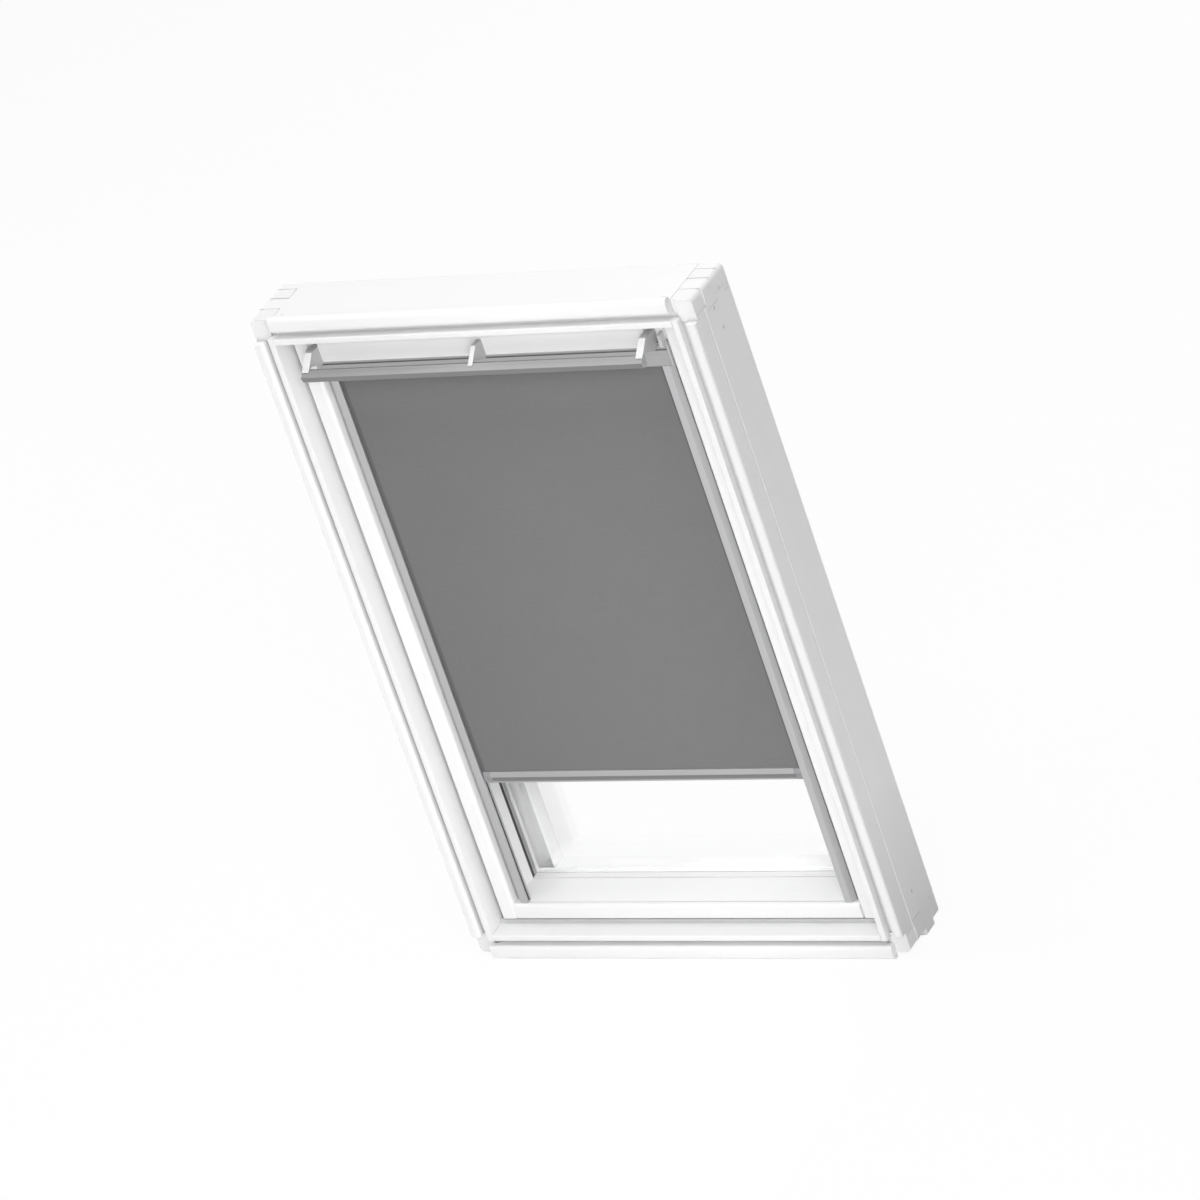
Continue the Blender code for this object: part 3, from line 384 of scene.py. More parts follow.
    def relief(self, height: Socket, distance: float, strength: float,
               normal: Socket | None = None) -> None:
        """Give the surface a relief.

        Args:
            height: Height pattern, from 0 to 1.
            distance: Height of the relief in metres.
            strength: Strength of the effect.
            normal: Normal that the relief stands on, if it isn't the surface's own.
        """
        node = self.add("ShaderNodeBump", Strength=strength, Distance=distance)
        self.link(height, node.inputs["Height"])
        if normal is not None:
            self.link(normal, node.inputs["Normal"])
        self.feed("Normal", node.outputs["Normal"])

    def finished(self, base: Socket, rough: Socket, **fixed: float) -> Material:
        """Join the base colour and the roughness, and end the material.

        Args:
            base: Base colour.
            rough: Roughness.
            fixed: Plain values for other sockets of the Principled shader.

        Returns:
            The material.
        """
        self.feed("Base Color", base)
        self.feed("Roughness", rough)
        self.fix(**fixed)
        return self.material


class Finish(ABC):
    """A finish that is made once and then shared by the pieces that have it."""

    made: dict["Finish", bpy.types.Material] = {}

    def material(self) -> Material:
        """Return the finish's material, made on its first use.

        Returns:
            The material.
        """
        if self not in Finish.made:
            Finish.made[self] = self.mix_up()
        return Finish.made[self]

    @abstractmethod
    def mix_up(self) -> Material:
        """Make the material."""

    def touch_up(self, shader: Shader, tone: Socket) -> Socket:
        """Give a part of the piece another colour or painted shade; a plain finish has no such part."""
        return tone

    def put_on(self, piece: Piece) -> None:
        """Put the finish on a piece.

        Args:
            piece: A CAD node or a new piece.
        """
        if not piece.material_slots:
            piece.data.materials.append(self.material())
        for slot in piece.material_slots:
            slot.material = self.material()


@dataclass(frozen=True)
class PaintedPine(Finish):
    """White satin paint on pine, with painted shade on the slope of the outer step and darker towards the
    foot of the outer sides.
    """

    run: Run
    groove_shade_colour: Colour
    colour: Colour = (0.86, 0.86, 0.862)
    thin_colour: Colour = (0.80, 0.80, 0.796)
    worn_colour: Colour = (0.73, 0.73, 0.722)
    end_colour: Colour = (0.83, 0.83, 0.83)
    # colour of the painted shade on the outer sides, at their foot and on the step's slope
    outer_shade_colour: Colour = (0.50, 0.50, 0.515)
    outer_shade_side: float = 0.388
    outer_shade_edge: float = 0.001
    foot_shade_share: float = 0.62
    foot_shade_height: float = 0.28
    step_front: tuple[float, float] = (-0.0234, -0.0231)
    step_back: tuple[float, float] = (-0.0221, -0.0218)
    step_shade_share: float = 0.32
    film_share: float = 0.25
    grain_along: float = 3.0
    grain_across: float = 150.0
    pore_scale: float = 520.0
    groove_shade_reach: float = 0.008
    edge_radius: float = 0.0009

    def mix_up(self) -> Material:
        """Make the material.

        Returns:
            The material.
        """
        shader = Shader("white_painted_pine_" + self.run.value)
        grain = shader.noise(shader.coordinates(self.run.stretch(self.grain_along, self.grain_across)),
                             detail=5.0, roughness=0.62, distortion=0.4)
        plain = shader.coordinates()
        cloud = shader.noise(plain, scale=9.0, detail=4.0)
        film = shader.noise(plain, scale=700.0, detail=2.0)
        eased = shader.eased_edges(self.edge_radius)
        wear = shader.times(shader.worn_edges(eased),
                            shader.spread(cloud, low=0.0, high=0.35, start=0.35, end=0.75))
        # painted shade on the outer sides: darker towards the foot, and on the step's slope
        outer_shaded = shader.blend(self.painted_outer_shade(shader, plain), self.paint_film(shader, grain, cloud),
                              self.outer_shade_colour)
        handled = shader.blend(wear, outer_shaded, self.worn_colour)
        shader.relief(shader.sums("ADD", grain, shader.times(film, self.film_share)), distance=0.00022,
                      strength=0.55, normal=eased)
        # painted shade in the grooves and inner corners
        return shader.finished(shader.blend(shader.hollow_shade(self.groove_shade_reach), handled, self.groove_shade_colour),
                               shader.spread(grain, low=0.36, high=0.50), Specular_IOR_Level=0.45)

    def paint_film(self, shader: Shader, grain: Socket, cloud: Socket) -> Socket:
        """Colour the paint: thinner over the grain here and there, and soaked in on the end grain.

        Args:
            shader: The material's bench.
            grain: Pattern of the grain.
            cloud: Broad pattern.

        Returns:
            The paint's tone.
        """
        thin = shader.times(shader.spread(grain, low=0.0, high=1.0, start=0.52, end=0.80),
                            shader.spread(cloud, low=0.15, high=0.6))
        pores = shader.noise(shader.coordinates((self.pore_scale,) * 3), roughness=0.7)
        soaked = shader.times(shader.square_to(self.run.value.upper()),
                              shader.spread(pores, low=0.55, high=1.0))
        return shader.blend(soaked, shader.blend(thin, self.colour, self.thin_colour), self.end_colour)

    def painted_outer_shade(self, shader: Shader, plain: Socket) -> Socket:
        """Find where shade is painted: darker towards the foot of the outer side faces, and on their step's
        slope.

        Args:
            shader: The material's bench.
            plain: The piece's coordinates.

        Returns:
            A mask that is 1 where the painted shade is full.
        """
        outside = shader.spread(shader.part(plain, "X", True), low=0.0, high=1.0, start=self.outer_shade_side,
                                end=self.outer_shade_side + self.outer_shade_edge)
        foot = shader.spread(shader.part(plain, "Z"), low=self.foot_shade_share, high=0.0, start=0.0,
                             end=self.foot_shade_height)
        depth = shader.part(plain, "Y")
        step = shader.times(shader.spread(depth, 0.0, self.step_shade_share, *self.step_front),
                            shader.spread(depth, 1.0, 0.0, *self.step_back))
        outer_shade_mask = shader.sums("MAXIMUM", shader.times(foot, shader.square_to("X")), step)
        return shader.times(outside, outer_shade_mask)


@dataclass(frozen=True)
class DrawnMetal(Finish):
    """Anodised aluminium extrusion, with fine draw lines along its length and painted shade in its hollows.
    """

    label: str
    run: Run
    colour: Colour
    shade: float = 0.9
    smooth: float = 0.34
    rough: float = 0.46
    metallic: float = 0.9
    end_tint: float = 1.0
    hollow_shade_tint: float = 0.5
    hollow_shade_reach: float = 0.008
    grit_share: float = 0.4
    edge_radius: float = 0.0004

    def mix_up(self) -> Material:
        """Make the material.

        Returns:
            The material.
        """
        shader = Shader(f"{self.label}_{self.run.value}")
        lines = shader.noise(shader.coordinates(self.run.stretch(along=2.0, across=1400.0)), roughness=0.6)
        plain = shader.coordinates()
        patch = shader.noise(plain, scale=14.0)
        grit = shader.noise(plain, scale=2600.0, detail=1.0)
        dull = dimmed(self.colour, self.shade)
        tone = shader.blend(shader.spread(lines, low=0.0, high=1.0), self.colour, dull)
        face = shader.blend(shader.spread(patch, low=0.0, high=0.25), tone, dull)
        sawn = shader.blend(shader.square_to(self.run.value.upper()), face,
                            dimmed(self.colour, self.end_tint))
        shader.relief(shader.sums("ADD", lines, shader.times(grit, self.grit_share)), distance=0.00004,
                      strength=0.5, normal=shader.eased_edges(self.edge_radius))
        # painted shade in the hollows
        return shader.finished(shader.blend(shader.hollow_shade(self.hollow_shade_reach), self.touch_up(shader, sawn),
                                            dimmed(self.colour, self.hollow_shade_tint)),
                               shader.spread(patch, self.smooth, self.rough),
                               Metallic=self.metallic, Anisotropic=0.35)


@dataclass(frozen=True)
class RecessedMetal(DrawnMetal):
    """Extrusion with painted shade on the faces at the back of its recess."""

    recess: float = 0.0
    recess_shade_tint: float = 0.52
    recess_edge: float = 0.0004

    def touch_up(self, shader: Shader, tone: Socket) -> Socket:
        """Paint shade on the faces toward the room that lie further back than the recess's mouth.

        Args:
            shader: The material's bench.
            tone: The tone so far.

        Returns:
            The darkened tone.
        """
        behind = shader.spread(shader.part(shader.coordinates(), "Y"), low=0.0, high=1.0, start=self.recess,
                               end=self.recess + self.recess_edge)
        return shader.blend(shader.times(behind, shader.toward_room()), tone,
                            dimmed(self.colour, self.recess_shade_tint))


@dataclass(frozen=True)
class LacqueredSheet(Finish):
    """Folded aluminium sheet with a light lacquer, dusty where rain has run down it."""

    colour: Colour = (0.93, 0.93, 0.93)
    dust_colour: Colour = (0.86, 0.86, 0.85)
    edge_radius: float = 0.0006

    def mix_up(self) -> Material:
        """Make the material.

        Returns:
            The material.
        """
        shader = Shader("cover_sheet")
        streak = shader.noise(shader.coordinates(Run.UP.stretch(along=4.0, across=55.0)), detail=5.0,
                              roughness=0.6)
        plain = shader.coordinates()
        patch = shader.noise(plain, scale=6.0, detail=4.0)
        peel = shader.noise(plain, scale=1100.0, detail=1.0)
        dust = shader.times(shader.spread(streak, low=0.0, high=0.5, start=0.5, end=0.85),
                            shader.spread(patch, low=0.2, high=1.0))
        shader.relief(peel, distance=0.00005, strength=0.6, normal=shader.eased_edges(self.edge_radius))
        return shader.finished(shader.blend(dust, self.colour, self.dust_colour),
                               shader.spread(streak, low=0.34, high=0.52),
                               Metallic=0.08, Coat_Weight=0.15, Coat_Roughness=0.25)


@dataclass(frozen=True)
class ZincPlate(Finish):
    """Bright zinc plating on pressed steel, with a faint crystal pattern and handling marks."""

    colour: Colour = (0.56, 0.57, 0.58)
    dark_colour: Colour = (0.42, 0.43, 0.45)
    crystals: float = 260.0
    edge_radius: float = 0.0004

    def mix_up(self) -> Material:
        """Make the material.

        Returns:
            The material.
        """
        shader = Shader("zinc_steel")
        plain = shader.coordinates()
        split = shader.add("ShaderNodeSeparateColor")
        shader.link(shader.cells(plain, self.crystals, "Color"), split.inputs["Color"])
        patch = shader.noise(plain, scale=45.0, detail=4.0)
        mark = shader.noise(shader.coordinates(Run.UP.stretch(along=30.0, across=300.0)), roughness=0.7)
        share = shader.times(split.outputs["Red"], shader.spread(patch, low=0.15, high=0.9))
        shader.relief(mark, distance=0.00003, strength=0.6, normal=shader.eased_edges(self.edge_radius))
        return shader.finished(shader.blend(share, self.colour, self.dark_colour),
                               shader.spread(mark, low=0.26, high=0.46), Metallic=1.0)


@dataclass(frozen=True)
class MouldedPlastic(Finish):
    """Moulded plastic with a fine spark-eroded grain."""

    label: str
    colour: Colour
    smooth: float = 0.44
    rough: float = 0.58
    shade: float = 0.93
    grain: float = 1500.0
    edge_radius: float = 0.0006

    def mix_up(self) -> Material:
        """Make the material.

        Returns:
            The material.
        """
        shader = Shader(self.label)
        plain = shader.coordinates()
        grain = shader.noise(plain, self.grain, detail=2.0, roughness=0.5)
        flow = shader.noise(plain, scale=30.0)
        tone = shader.blend(shader.spread(flow, low=0.0, high=1.0), self.colour,
                            dimmed(self.colour, self.shade))
        shader.relief(grain, distance=0.00005, strength=0.5, normal=shader.eased_edges(self.edge_radius))
        return shader.finished(self.touch_up(shader, tone), shader.spread(grain, self.smooth, self.rough))


@dataclass(frozen=True)
class ShadedSidePlastic(MouldedPlastic):
    """Moulding with painted shade: its faces away from the room are darker, and the faces toward the room
    keep the plastic's own light colour.
    """

    room_face_colour: Colour = (0.84, 0.84, 0.84)

    def touch_up(self, shader: Shader, tone: Socket) -> Socket:
        """Return the painted shade tone, with the plastic's own colour on the faces toward the room."""
        return shader.blend(shader.toward_room(), tone, self.room_face_colour)


@dataclass(frozen=True)
class GlueLine(Finish):
    """Dried glue and paint in the joint between two fingers."""

    colour: Colour = (0.46, 0.46, 0.455)
    filled_colour: Colour = (0.70, 0.70, 0.69)

    def mix_up(self) -> Material:
        """Make the material.

        Returns:
            The material.
        """
        shader = Shader("glue_line")
        blots = shader.noise(shader.coordinates(), scale=160.0, detail=4.0, roughness=0.6)
        filled = shader.spread(blots, low=0.0, high=1.0, start=0.50, end=0.72)
        shader.relief(blots, distance=0.0001, strength=0.5)
        return shader.finished(shader.blend(filled, self.colour, self.filled_colour),
                               shader.spread(blots, low=0.5, high=0.7))


@dataclass(frozen=True)
class Rubber(Finish):
    """Extruded rubber: matt, with flow lines along it and a little dust in its pores."""

    label: str
    colour: Colour
    dust: Colour
    run: Run = Run.UP

    def mix_up(self) -> Material:
        """Make the material.

        Returns:
            The material.
        """
        shader = Shader(f"{self.label}_{self.run.value}")
        lines = shader.noise(shader.coordinates(self.run.stretch(along=4.0, across=900.0)), detail=2.0)
        plain = shader.coordinates()
        pores = shader.noise(plain, scale=1800.0, detail=2.0)
        patch = shader.noise(plain, scale=25.0, detail=4.0)
        dusty = shader.spread(patch, low=0.0, high=0.7, start=0.45, end=0.8)
        shader.relief(shader.sums("ADD", lines, pores), distance=0.00006, strength=0.6)
        return shader.finished(shader.blend(dusty, self.colour, self.dust),
                               shader.spread(pores, low=0.55, high=0.78))


@dataclass(frozen=True)
class FloatGlass(Finish):
    """Clear float glass with a breath of dust and the slightest waviness."""

    colour: Colour = (0.998, 1.0, 0.999)

    def mix_up(self) -> Material:
        """Make the material.

        Returns:
            The material.
        """
        shader = Shader("clear_glass")
        plain = shader.coordinates()
        film = shader.noise(plain, scale=18.0, detail=4.0, roughness=0.7)
        wave = shader.noise(plain, scale=2.5, detail=1.0)
        shader.feed("Roughness", shader.spread(film, low=0.0, high=0.03, start=0.45, end=0.8))
        shader.relief(wave, distance=0.0002, strength=0.04)
        shader.fix(Base_Color=(*self.colour, 1.0), Transmission_Weight=1.0, IOR=1.45)
        shader.open_to_lamps(self.colour)
        return shader.material


@dataclass(frozen=True)
class BlackoutCloth(Finish):
    """Plain-woven blackout cloth: a fine weave with slubs, matt from its coating, with a painted shadow of
    the side channels along both edges.
    """

    colour: Colour = (0.172, 0.172, 0.172)
    dark_colour: Colour = (0.160, 0.160, 0.161)
    light_colour: Colour = (0.182, 0.182, 0.181)
    # colour and reach of the painted shadow of the side channels on the cloth
    channel_shadow_colour: Colour = (0.112, 0.112, 0.113)
    channel_shadow_from: float = 0.2795
    channel_shadow_to: float = 0.2820
    threads: float = 1500.0
    slub_along: float = 18.0
    slub_across: float = 900.0
    slub_share: float = 0.8

    def mix_up(self) -> Material:
        """Make the material.

        Returns:
            The material.
        """
        shader = Shader("blackout_fabric")
        weave = shader.coordinates((self.threads, self.threads, 1.0), "UV")
        warp, weft = (shader.bands(weave, scale=0.16, direction=axis, distortion=0.4) for axis in "XY")
        cross = shader.sums("MAXIMUM", warp, weft)
        thin, long = self.slub_across, self.slub_along
        slub_up, slub_over = (shader.noise(shader.coordinates(stretch, "UV"), roughness=0.6)
                              for stretch in ((thin, long, 1.0), (long, thin, 1.0)))
        slub = shader.times(shader.sums("ADD", slub_up, slub_over), 0.5)
        broad = shader.noise(shader.coordinates(output="UV"), scale=7.0)
        lower = shader.blend(shader.spread(slub, low=0.0, high=1.0, start=0.36, end=0.50),
                             self.dark_colour, self.colour)
        tone = shader.blend(shader.spread(slub, low=0.0, high=1.0, start=0.50, end=0.64),
                            lower, self.light_colour)
        plain = shader.blend(shader.spread(broad, low=0.0, high=0.25), tone, self.dark_colour)
        # painted shadow of the side channels along the cloth's edges
        channel_shadow = shader.spread(shader.part(shader.coordinates(output="UV"), "X", True), low=0.0, high=0.8,
                               start=self.channel_shadow_from, end=self.channel_shadow_to)
        shader.relief(shader.sums("ADD", cross, shader.times(slub, self.slub_share)), distance=0.00012,
                      strength=0.5)
        return shader.finished(shader.blend(channel_shadow, plain, self.channel_shadow_colour),
                               shader.spread(cross, low=0.78, high=0.92),
                               Sheen_Weight=0.08, Sheen_Roughness=0.5, Specular_IOR_Level=0.25)


@dataclass(frozen=True)
class FilterFoam(Finish):
    """Open-celled filter foam."""

    colour: Colour = (0.12, 0.12, 0.12)
    pore_colour: Colour = (0.03, 0.03, 0.03)
    pore_scale: float = 900.0

    def mix_up(self) -> Material:
        """Make the material.

        Returns:
            The material.
        """
        shader = Shader("filter_foam")
        pores = shader.cells(shader.coordinates(), self.pore_scale, "Distance")
        walls = shader.spread(pores, low=0.0, high=1.0, start=0.15, end=0.45)
        shader.feed("Base Color", shader.blend(walls, self.pore_colour, self.colour))
        shader.relief(pores, distance=0.0006, strength=0.9)
        shader.fix(Roughness=0.95)
        return shader.material


# The second colour of each white is the painted shade in its grooves.
WHITE_ACROSS = PaintedPine(Run.ACROSS, (0.62, 0.62, 0.62))
WHITE_UP = PaintedPine(Run.UP, (0.48, 0.48, 0.48))
CHANNEL_METAL = DrawnMetal("channel_aluminium", Run.UP, (0.53, 0.53, 0.537), smooth=0.42, rough=0.54)
CASING_METAL = DrawnMetal("casing_aluminium", Run.ACROSS, (0.42, 0.42, 0.424), smooth=0.42, rough=0.54)
# the bottom bar gets painted shade at the back of its recess
BAR_METAL = RecessedMetal("bar_aluminium", Run.ACROSS, (0.45, 0.45, 0.453), smooth=0.40, rough=0.50,
                          recess=-0.0206)
CONTROL_METAL = DrawnMetal("control_bar_aluminium", Run.ACROSS, (0.26, 0.26, 0.263), smooth=0.36,
                           rough=0.46, end_tint=1.9)
SPACER_METAL = DrawnMetal("spacer_aluminium", Run.ACROSS, (0.82, 0.82, 0.825), smooth=0.5, rough=0.6,
                          metallic=0.3, hollow_shade_tint=0.9)
EDGE_METAL = DrawnMetal("edge_strip_aluminium", Run.UP, (0.60, 0.60, 0.61), smooth=0.4, rough=0.5)
COVER_SHEET = LacqueredSheet()
ZINC = ZincPlate()
GREY_PLASTIC = MouldedPlastic("grey_plastic", (0.25, 0.25, 0.26))
END_PLASTIC = MouldedPlastic("end_plastic", (0.54, 0.54, 0.543))
GLIDE_PLASTIC = MouldedPlastic("glide_plastic", (0.30, 0.30, 0.31), smooth=0.40, rough=0.54)
# The brackets' main colour is painted shade on their sides; the faces toward the room are their own white.
BRACKET_PLASTIC = ShadedSidePlastic("shaded_side_plastic", (0.46, 0.46, 0.465), smooth=0.36, rough=0.52, shade=0.90)
BLACK_RUBBER = Rubber("black_rubber", (0.055, 0.055, 0.055), (0.085, 0.084, 0.082))
GREY_RUBBER = Rubber("grey_rubber", (0.58, 0.58, 0.59), (0.64, 0.64, 0.635), Run.ACROSS)
GLUE = GlueLine()
GLASS = FloatGlass()
CLOTH = BlackoutCloth()
FOAM = FilterFoam()


def clear_selection() -> None:
    """Leave edit mode and deselect everything."""
    if bpy.context.object is not None and bpy.context.object.mode != "OBJECT":
        bpy.ops.object.mode_set(mode="OBJECT")
    bpy.ops.object.select_all(action="DESELECT")


def pick(piece: Piece) -> None:
    """Select one object alone and make it active.

    Args:
        piece: The object.
    """
    clear_selection()
    piece.select_set(True)
    bpy.context.view_layer.objects.active = piece


@contextmanager
def at_the_bench(piece: Piece, mode: str = "FACE", action: str = "DESELECT") -> Iterator[None]:
    """Open a piece in edit mode.

    Args:
        piece: The piece to open.
        mode: Kind of element that selections work on.
        action: SELECT to start with all of it selected, DESELECT to start with nothing selected.
    """
    pick(piece)
    bpy.ops.object.mode_set(mode="EDIT")
    bpy.ops.mesh.select_mode(type=mode)
    bpy.ops.mesh.select_all(action=action)
    yield
    bpy.ops.object.mode_set(mode="OBJECT")


def select_where(piece: Piece, kind: str, test: Callable[..., bool]) -> None:
    """Select the faces or edges that pass a test, while the piece is in edit mode.

    Args:
        piece: The piece that is open.
        kind: faces or edges.
        test: Says whether an element is wanted, from its place or normal.
    """
    for element in getattr(bmesh.from_edit_mesh(piece.data), kind):
        element.select_set(test(element))
    bmesh.update_edit_mesh(piece.data)


def start_block(name: str, low: Vector, high: Vector) -> Piece:
    """Add a cube sized and placed between two corners.

    Args:
        name: Name of the piece.
        low: Lowest corner.
        high: Highest corner.

    Returns:
        The new piece, its place already in its mesh.
    """
    clear_selection()
    bpy.ops.mesh.primitive_cube_add(size=1.0, location=(low + high) / 2)
    piece = bpy.context.object
    piece.name = name
    piece.scale = high - low
    bpy.ops.object.transform_apply(location=True, rotation=True, scale=True)
    return piece


def eased_block(name: str, low: Vector, high: Vector, radius: float, segments: int = 1) -> Piece:
    """Add a block with all its edges bevelled.

    Args:
        name: Name of the piece.
        low: Lowest corner.
        high: Highest corner.
        radius: Width of the bevel.
        segments: Steps of the bevel.

    Returns:
        The new piece.
    """
    block = start_block(name, low, high)
    with at_the_bench(block, "EDGE", "SELECT"):
        bpy.ops.mesh.bevel(offset=radius, segments=segments, affect="EDGES")
    return block


def bake_modifiers(piece: Piece) -> None:
    """Apply every modifier that a piece has.

    Args:
        piece: The piece.
    """
    pick(piece)
    for modifier in list(piece.modifiers):
        bpy.ops.object.modifier_apply(modifier=modifier.name)


def thicken(piece: Piece, thickness: float) -> None:
    """Give a sheet its thickness, half of it to each side.

    Args:
        piece: The sheet.
        thickness: Its thickness.
    """
    body = piece.modifiers.new("thickness", "SOLIDIFY")
    body.thickness = thickness
    body.offset = 0.0
    bake_modifiers(piece)


def soft_shade(piece: Piece, degrees: float) -> Piece:
    """Shade a piece smooth, with its sharp edges kept.

    Args:
        piece: The piece.
        degrees: Angle from which an edge counts as sharp.

    Returns:
        The piece.
    """
    pick(piece)
    bpy.ops.object.shade_smooth_by_angle(angle=math.radians(degrees))
    return piece


def turned(index: int, first: float, step: float) -> float:
    """Return the turn of a screw's recess in degrees, which differs along a row."""
    return first + step * index


@dataclass(frozen=True)
class Seat:
    """Place of one screw head: a point of the surface, and the body that the head rides on."""

    name: str
    place: Vector
    facing: Facing
    turn: float
    body: Body
    stands_for: str | None = None


@dataclass
class Screw:
    """Screw head with a cross recess, modelled once and copied to each of its seats."""

    label: str
    radius: float
    height: float
    dome: float
    sunk: bool = False
    recess_depth: float = 0.0011
    sides: int = 40
    sunk_taper: float = 0.55
    cross_length: float = 1.15
    cross_width: float = 0.26
    cross_taper: float = 0.72
    cutter_height: float = 2.0
    smooth_angle: float = 30.0

    def model(self) -> Piece:
        """Model the head at the origin, its top pointing up.

        Returns:
            The pattern that the copies are made from.
        """
        clear_selection()
        bpy.ops.mesh.primitive_cylinder_add(vertices=self.sides, radius=self.radius, depth=self.height,
                                            location=(0.0, 0.0, self.height / 2))
        head = bpy.context.object
        head.name = self.label
        bpy.ops.object.transform_apply(location=True, rotation=True, scale=True)
        with at_the_bench(head):
            select_where(head, "faces", lambda face: face.calc_center_median().z > self.height - TOUCH)
            bpy.ops.mesh.bevel(offset=self.dome, segments=3, affect="EDGES")
        if self.sunk:
            with at_the_bench(head):
                select_where(head, "faces", lambda face: face.calc_center_median().z < TOUCH)
                bpy.ops.transform.resize(value=(self.sunk_taper, self.sunk_taper, 1.0))
        length, width = self.radius * self.cross_length, self.radius * self.cross_width
        for index, (x, y) in enumerate(((length, width), (width, length))):
            self.cut_slot(head, index, Vector((x / 2, y / 2, 0.0)))
        return soft_shade(head, self.smooth_angle)

    def cut_slot(self, head: Piece, index: int, reach: Vector) -> None:
        """Cut one of the two slots of the cross.

        Args:
            head: The head.
            index: Number of the slot.
            reach: How far the slot reaches to each side.
        """
        low = Vector((0.0, 0.0, self.height - self.recess_depth))
        cutter = start_block(f"{self.label}_cutter_{index}", low - reach,
                             Vector((0.0, 0.0, self.height * self.cutter_height)) + reach)
        with at_the_bench(cutter):
            select_where(cutter, "faces", lambda face: face.normal.z < DOWNWARD)
            bpy.ops.transform.resize(value=(self.cross_taper, self.cross_taper, 1.0))
        cut = head.modifiers.new("recess", "BOOLEAN")
        cut.operation = "DIFFERENCE"
        cut.solver = "EXACT"
        cut.object = cutter
        bake_modifiers(head)
        bpy.data.objects.remove(cutter, do_unlink=True)

    def drive(self, seats: Iterable[Seat]) -> None:
        """Copy the head to every seat, each copy with its place in its own mesh.

        Args:
            seats: The seats.
        """
        pattern = self.model()
        for seat in seats:
            copy = bpy.data.objects.new(seat.name, pattern.data.copy())
            bpy.context.scene.collection.objects.link(copy)
            spin = Matrix.Rotation(math.radians(seat.turn), 4, "Z")
            aim = Vector(Facing.UP.value).rotation_difference(Vector(seat.facing.value))
            copy.data.transform(Matrix.Translation(seat.place) @ aim.to_matrix().to_4x4() @ spin)
            ZINC.put_on(copy)
            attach(copy, seat.body.value)
            if seat.stands_for is not None:
                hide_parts(seat.stands_for)
            LOG.info("set %s on %s", seat.name, seat.body.value)
        bpy.data.objects.remove(pattern, do_unlink=True)


@dataclass
class Assembly(ABC):
    """A group of CAD nodes that are dressed together, with the pieces and screws that are put on them."""

    looks: ClassVar[dict[Finish, tuple[str, ...]]] = {}
    screw: Screw

    def dress(self) -> None:
        """Put the group's finishes on its CAD nodes."""
        for finish, nodes in self.looks.items():
            for name in nodes:
                finish.put_on(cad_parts[name])
                LOG.info("dressed %s as %s", name, type(finish).__name__)

    def seat(self, piece: Piece, body: Body, finish: Finish, slot: str) -> None:
        """Finish a new piece and set it on its body.

        Args:
            piece: The new piece.
            body: Body that it rides on.
            finish: Its finish.
            slot: Material slot of the record; not used.
        """
        finish.put_on(piece)
        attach(piece, body.value)
        LOG.info("built %s on %s", piece.name, body.value)

    def build(self) -> None:
        """Build the group's own pieces, and then put in its screws."""
        self.build_pieces()
        self.screw.drive(self.seats())

    def build_pieces(self) -> None:
        """Build the pieces that the CAD leaves to the scene; a group may have none."""

    @abstractmethod
    def seats(self) -> Iterator[Seat]:
        """Give the seats of the group's screws."""


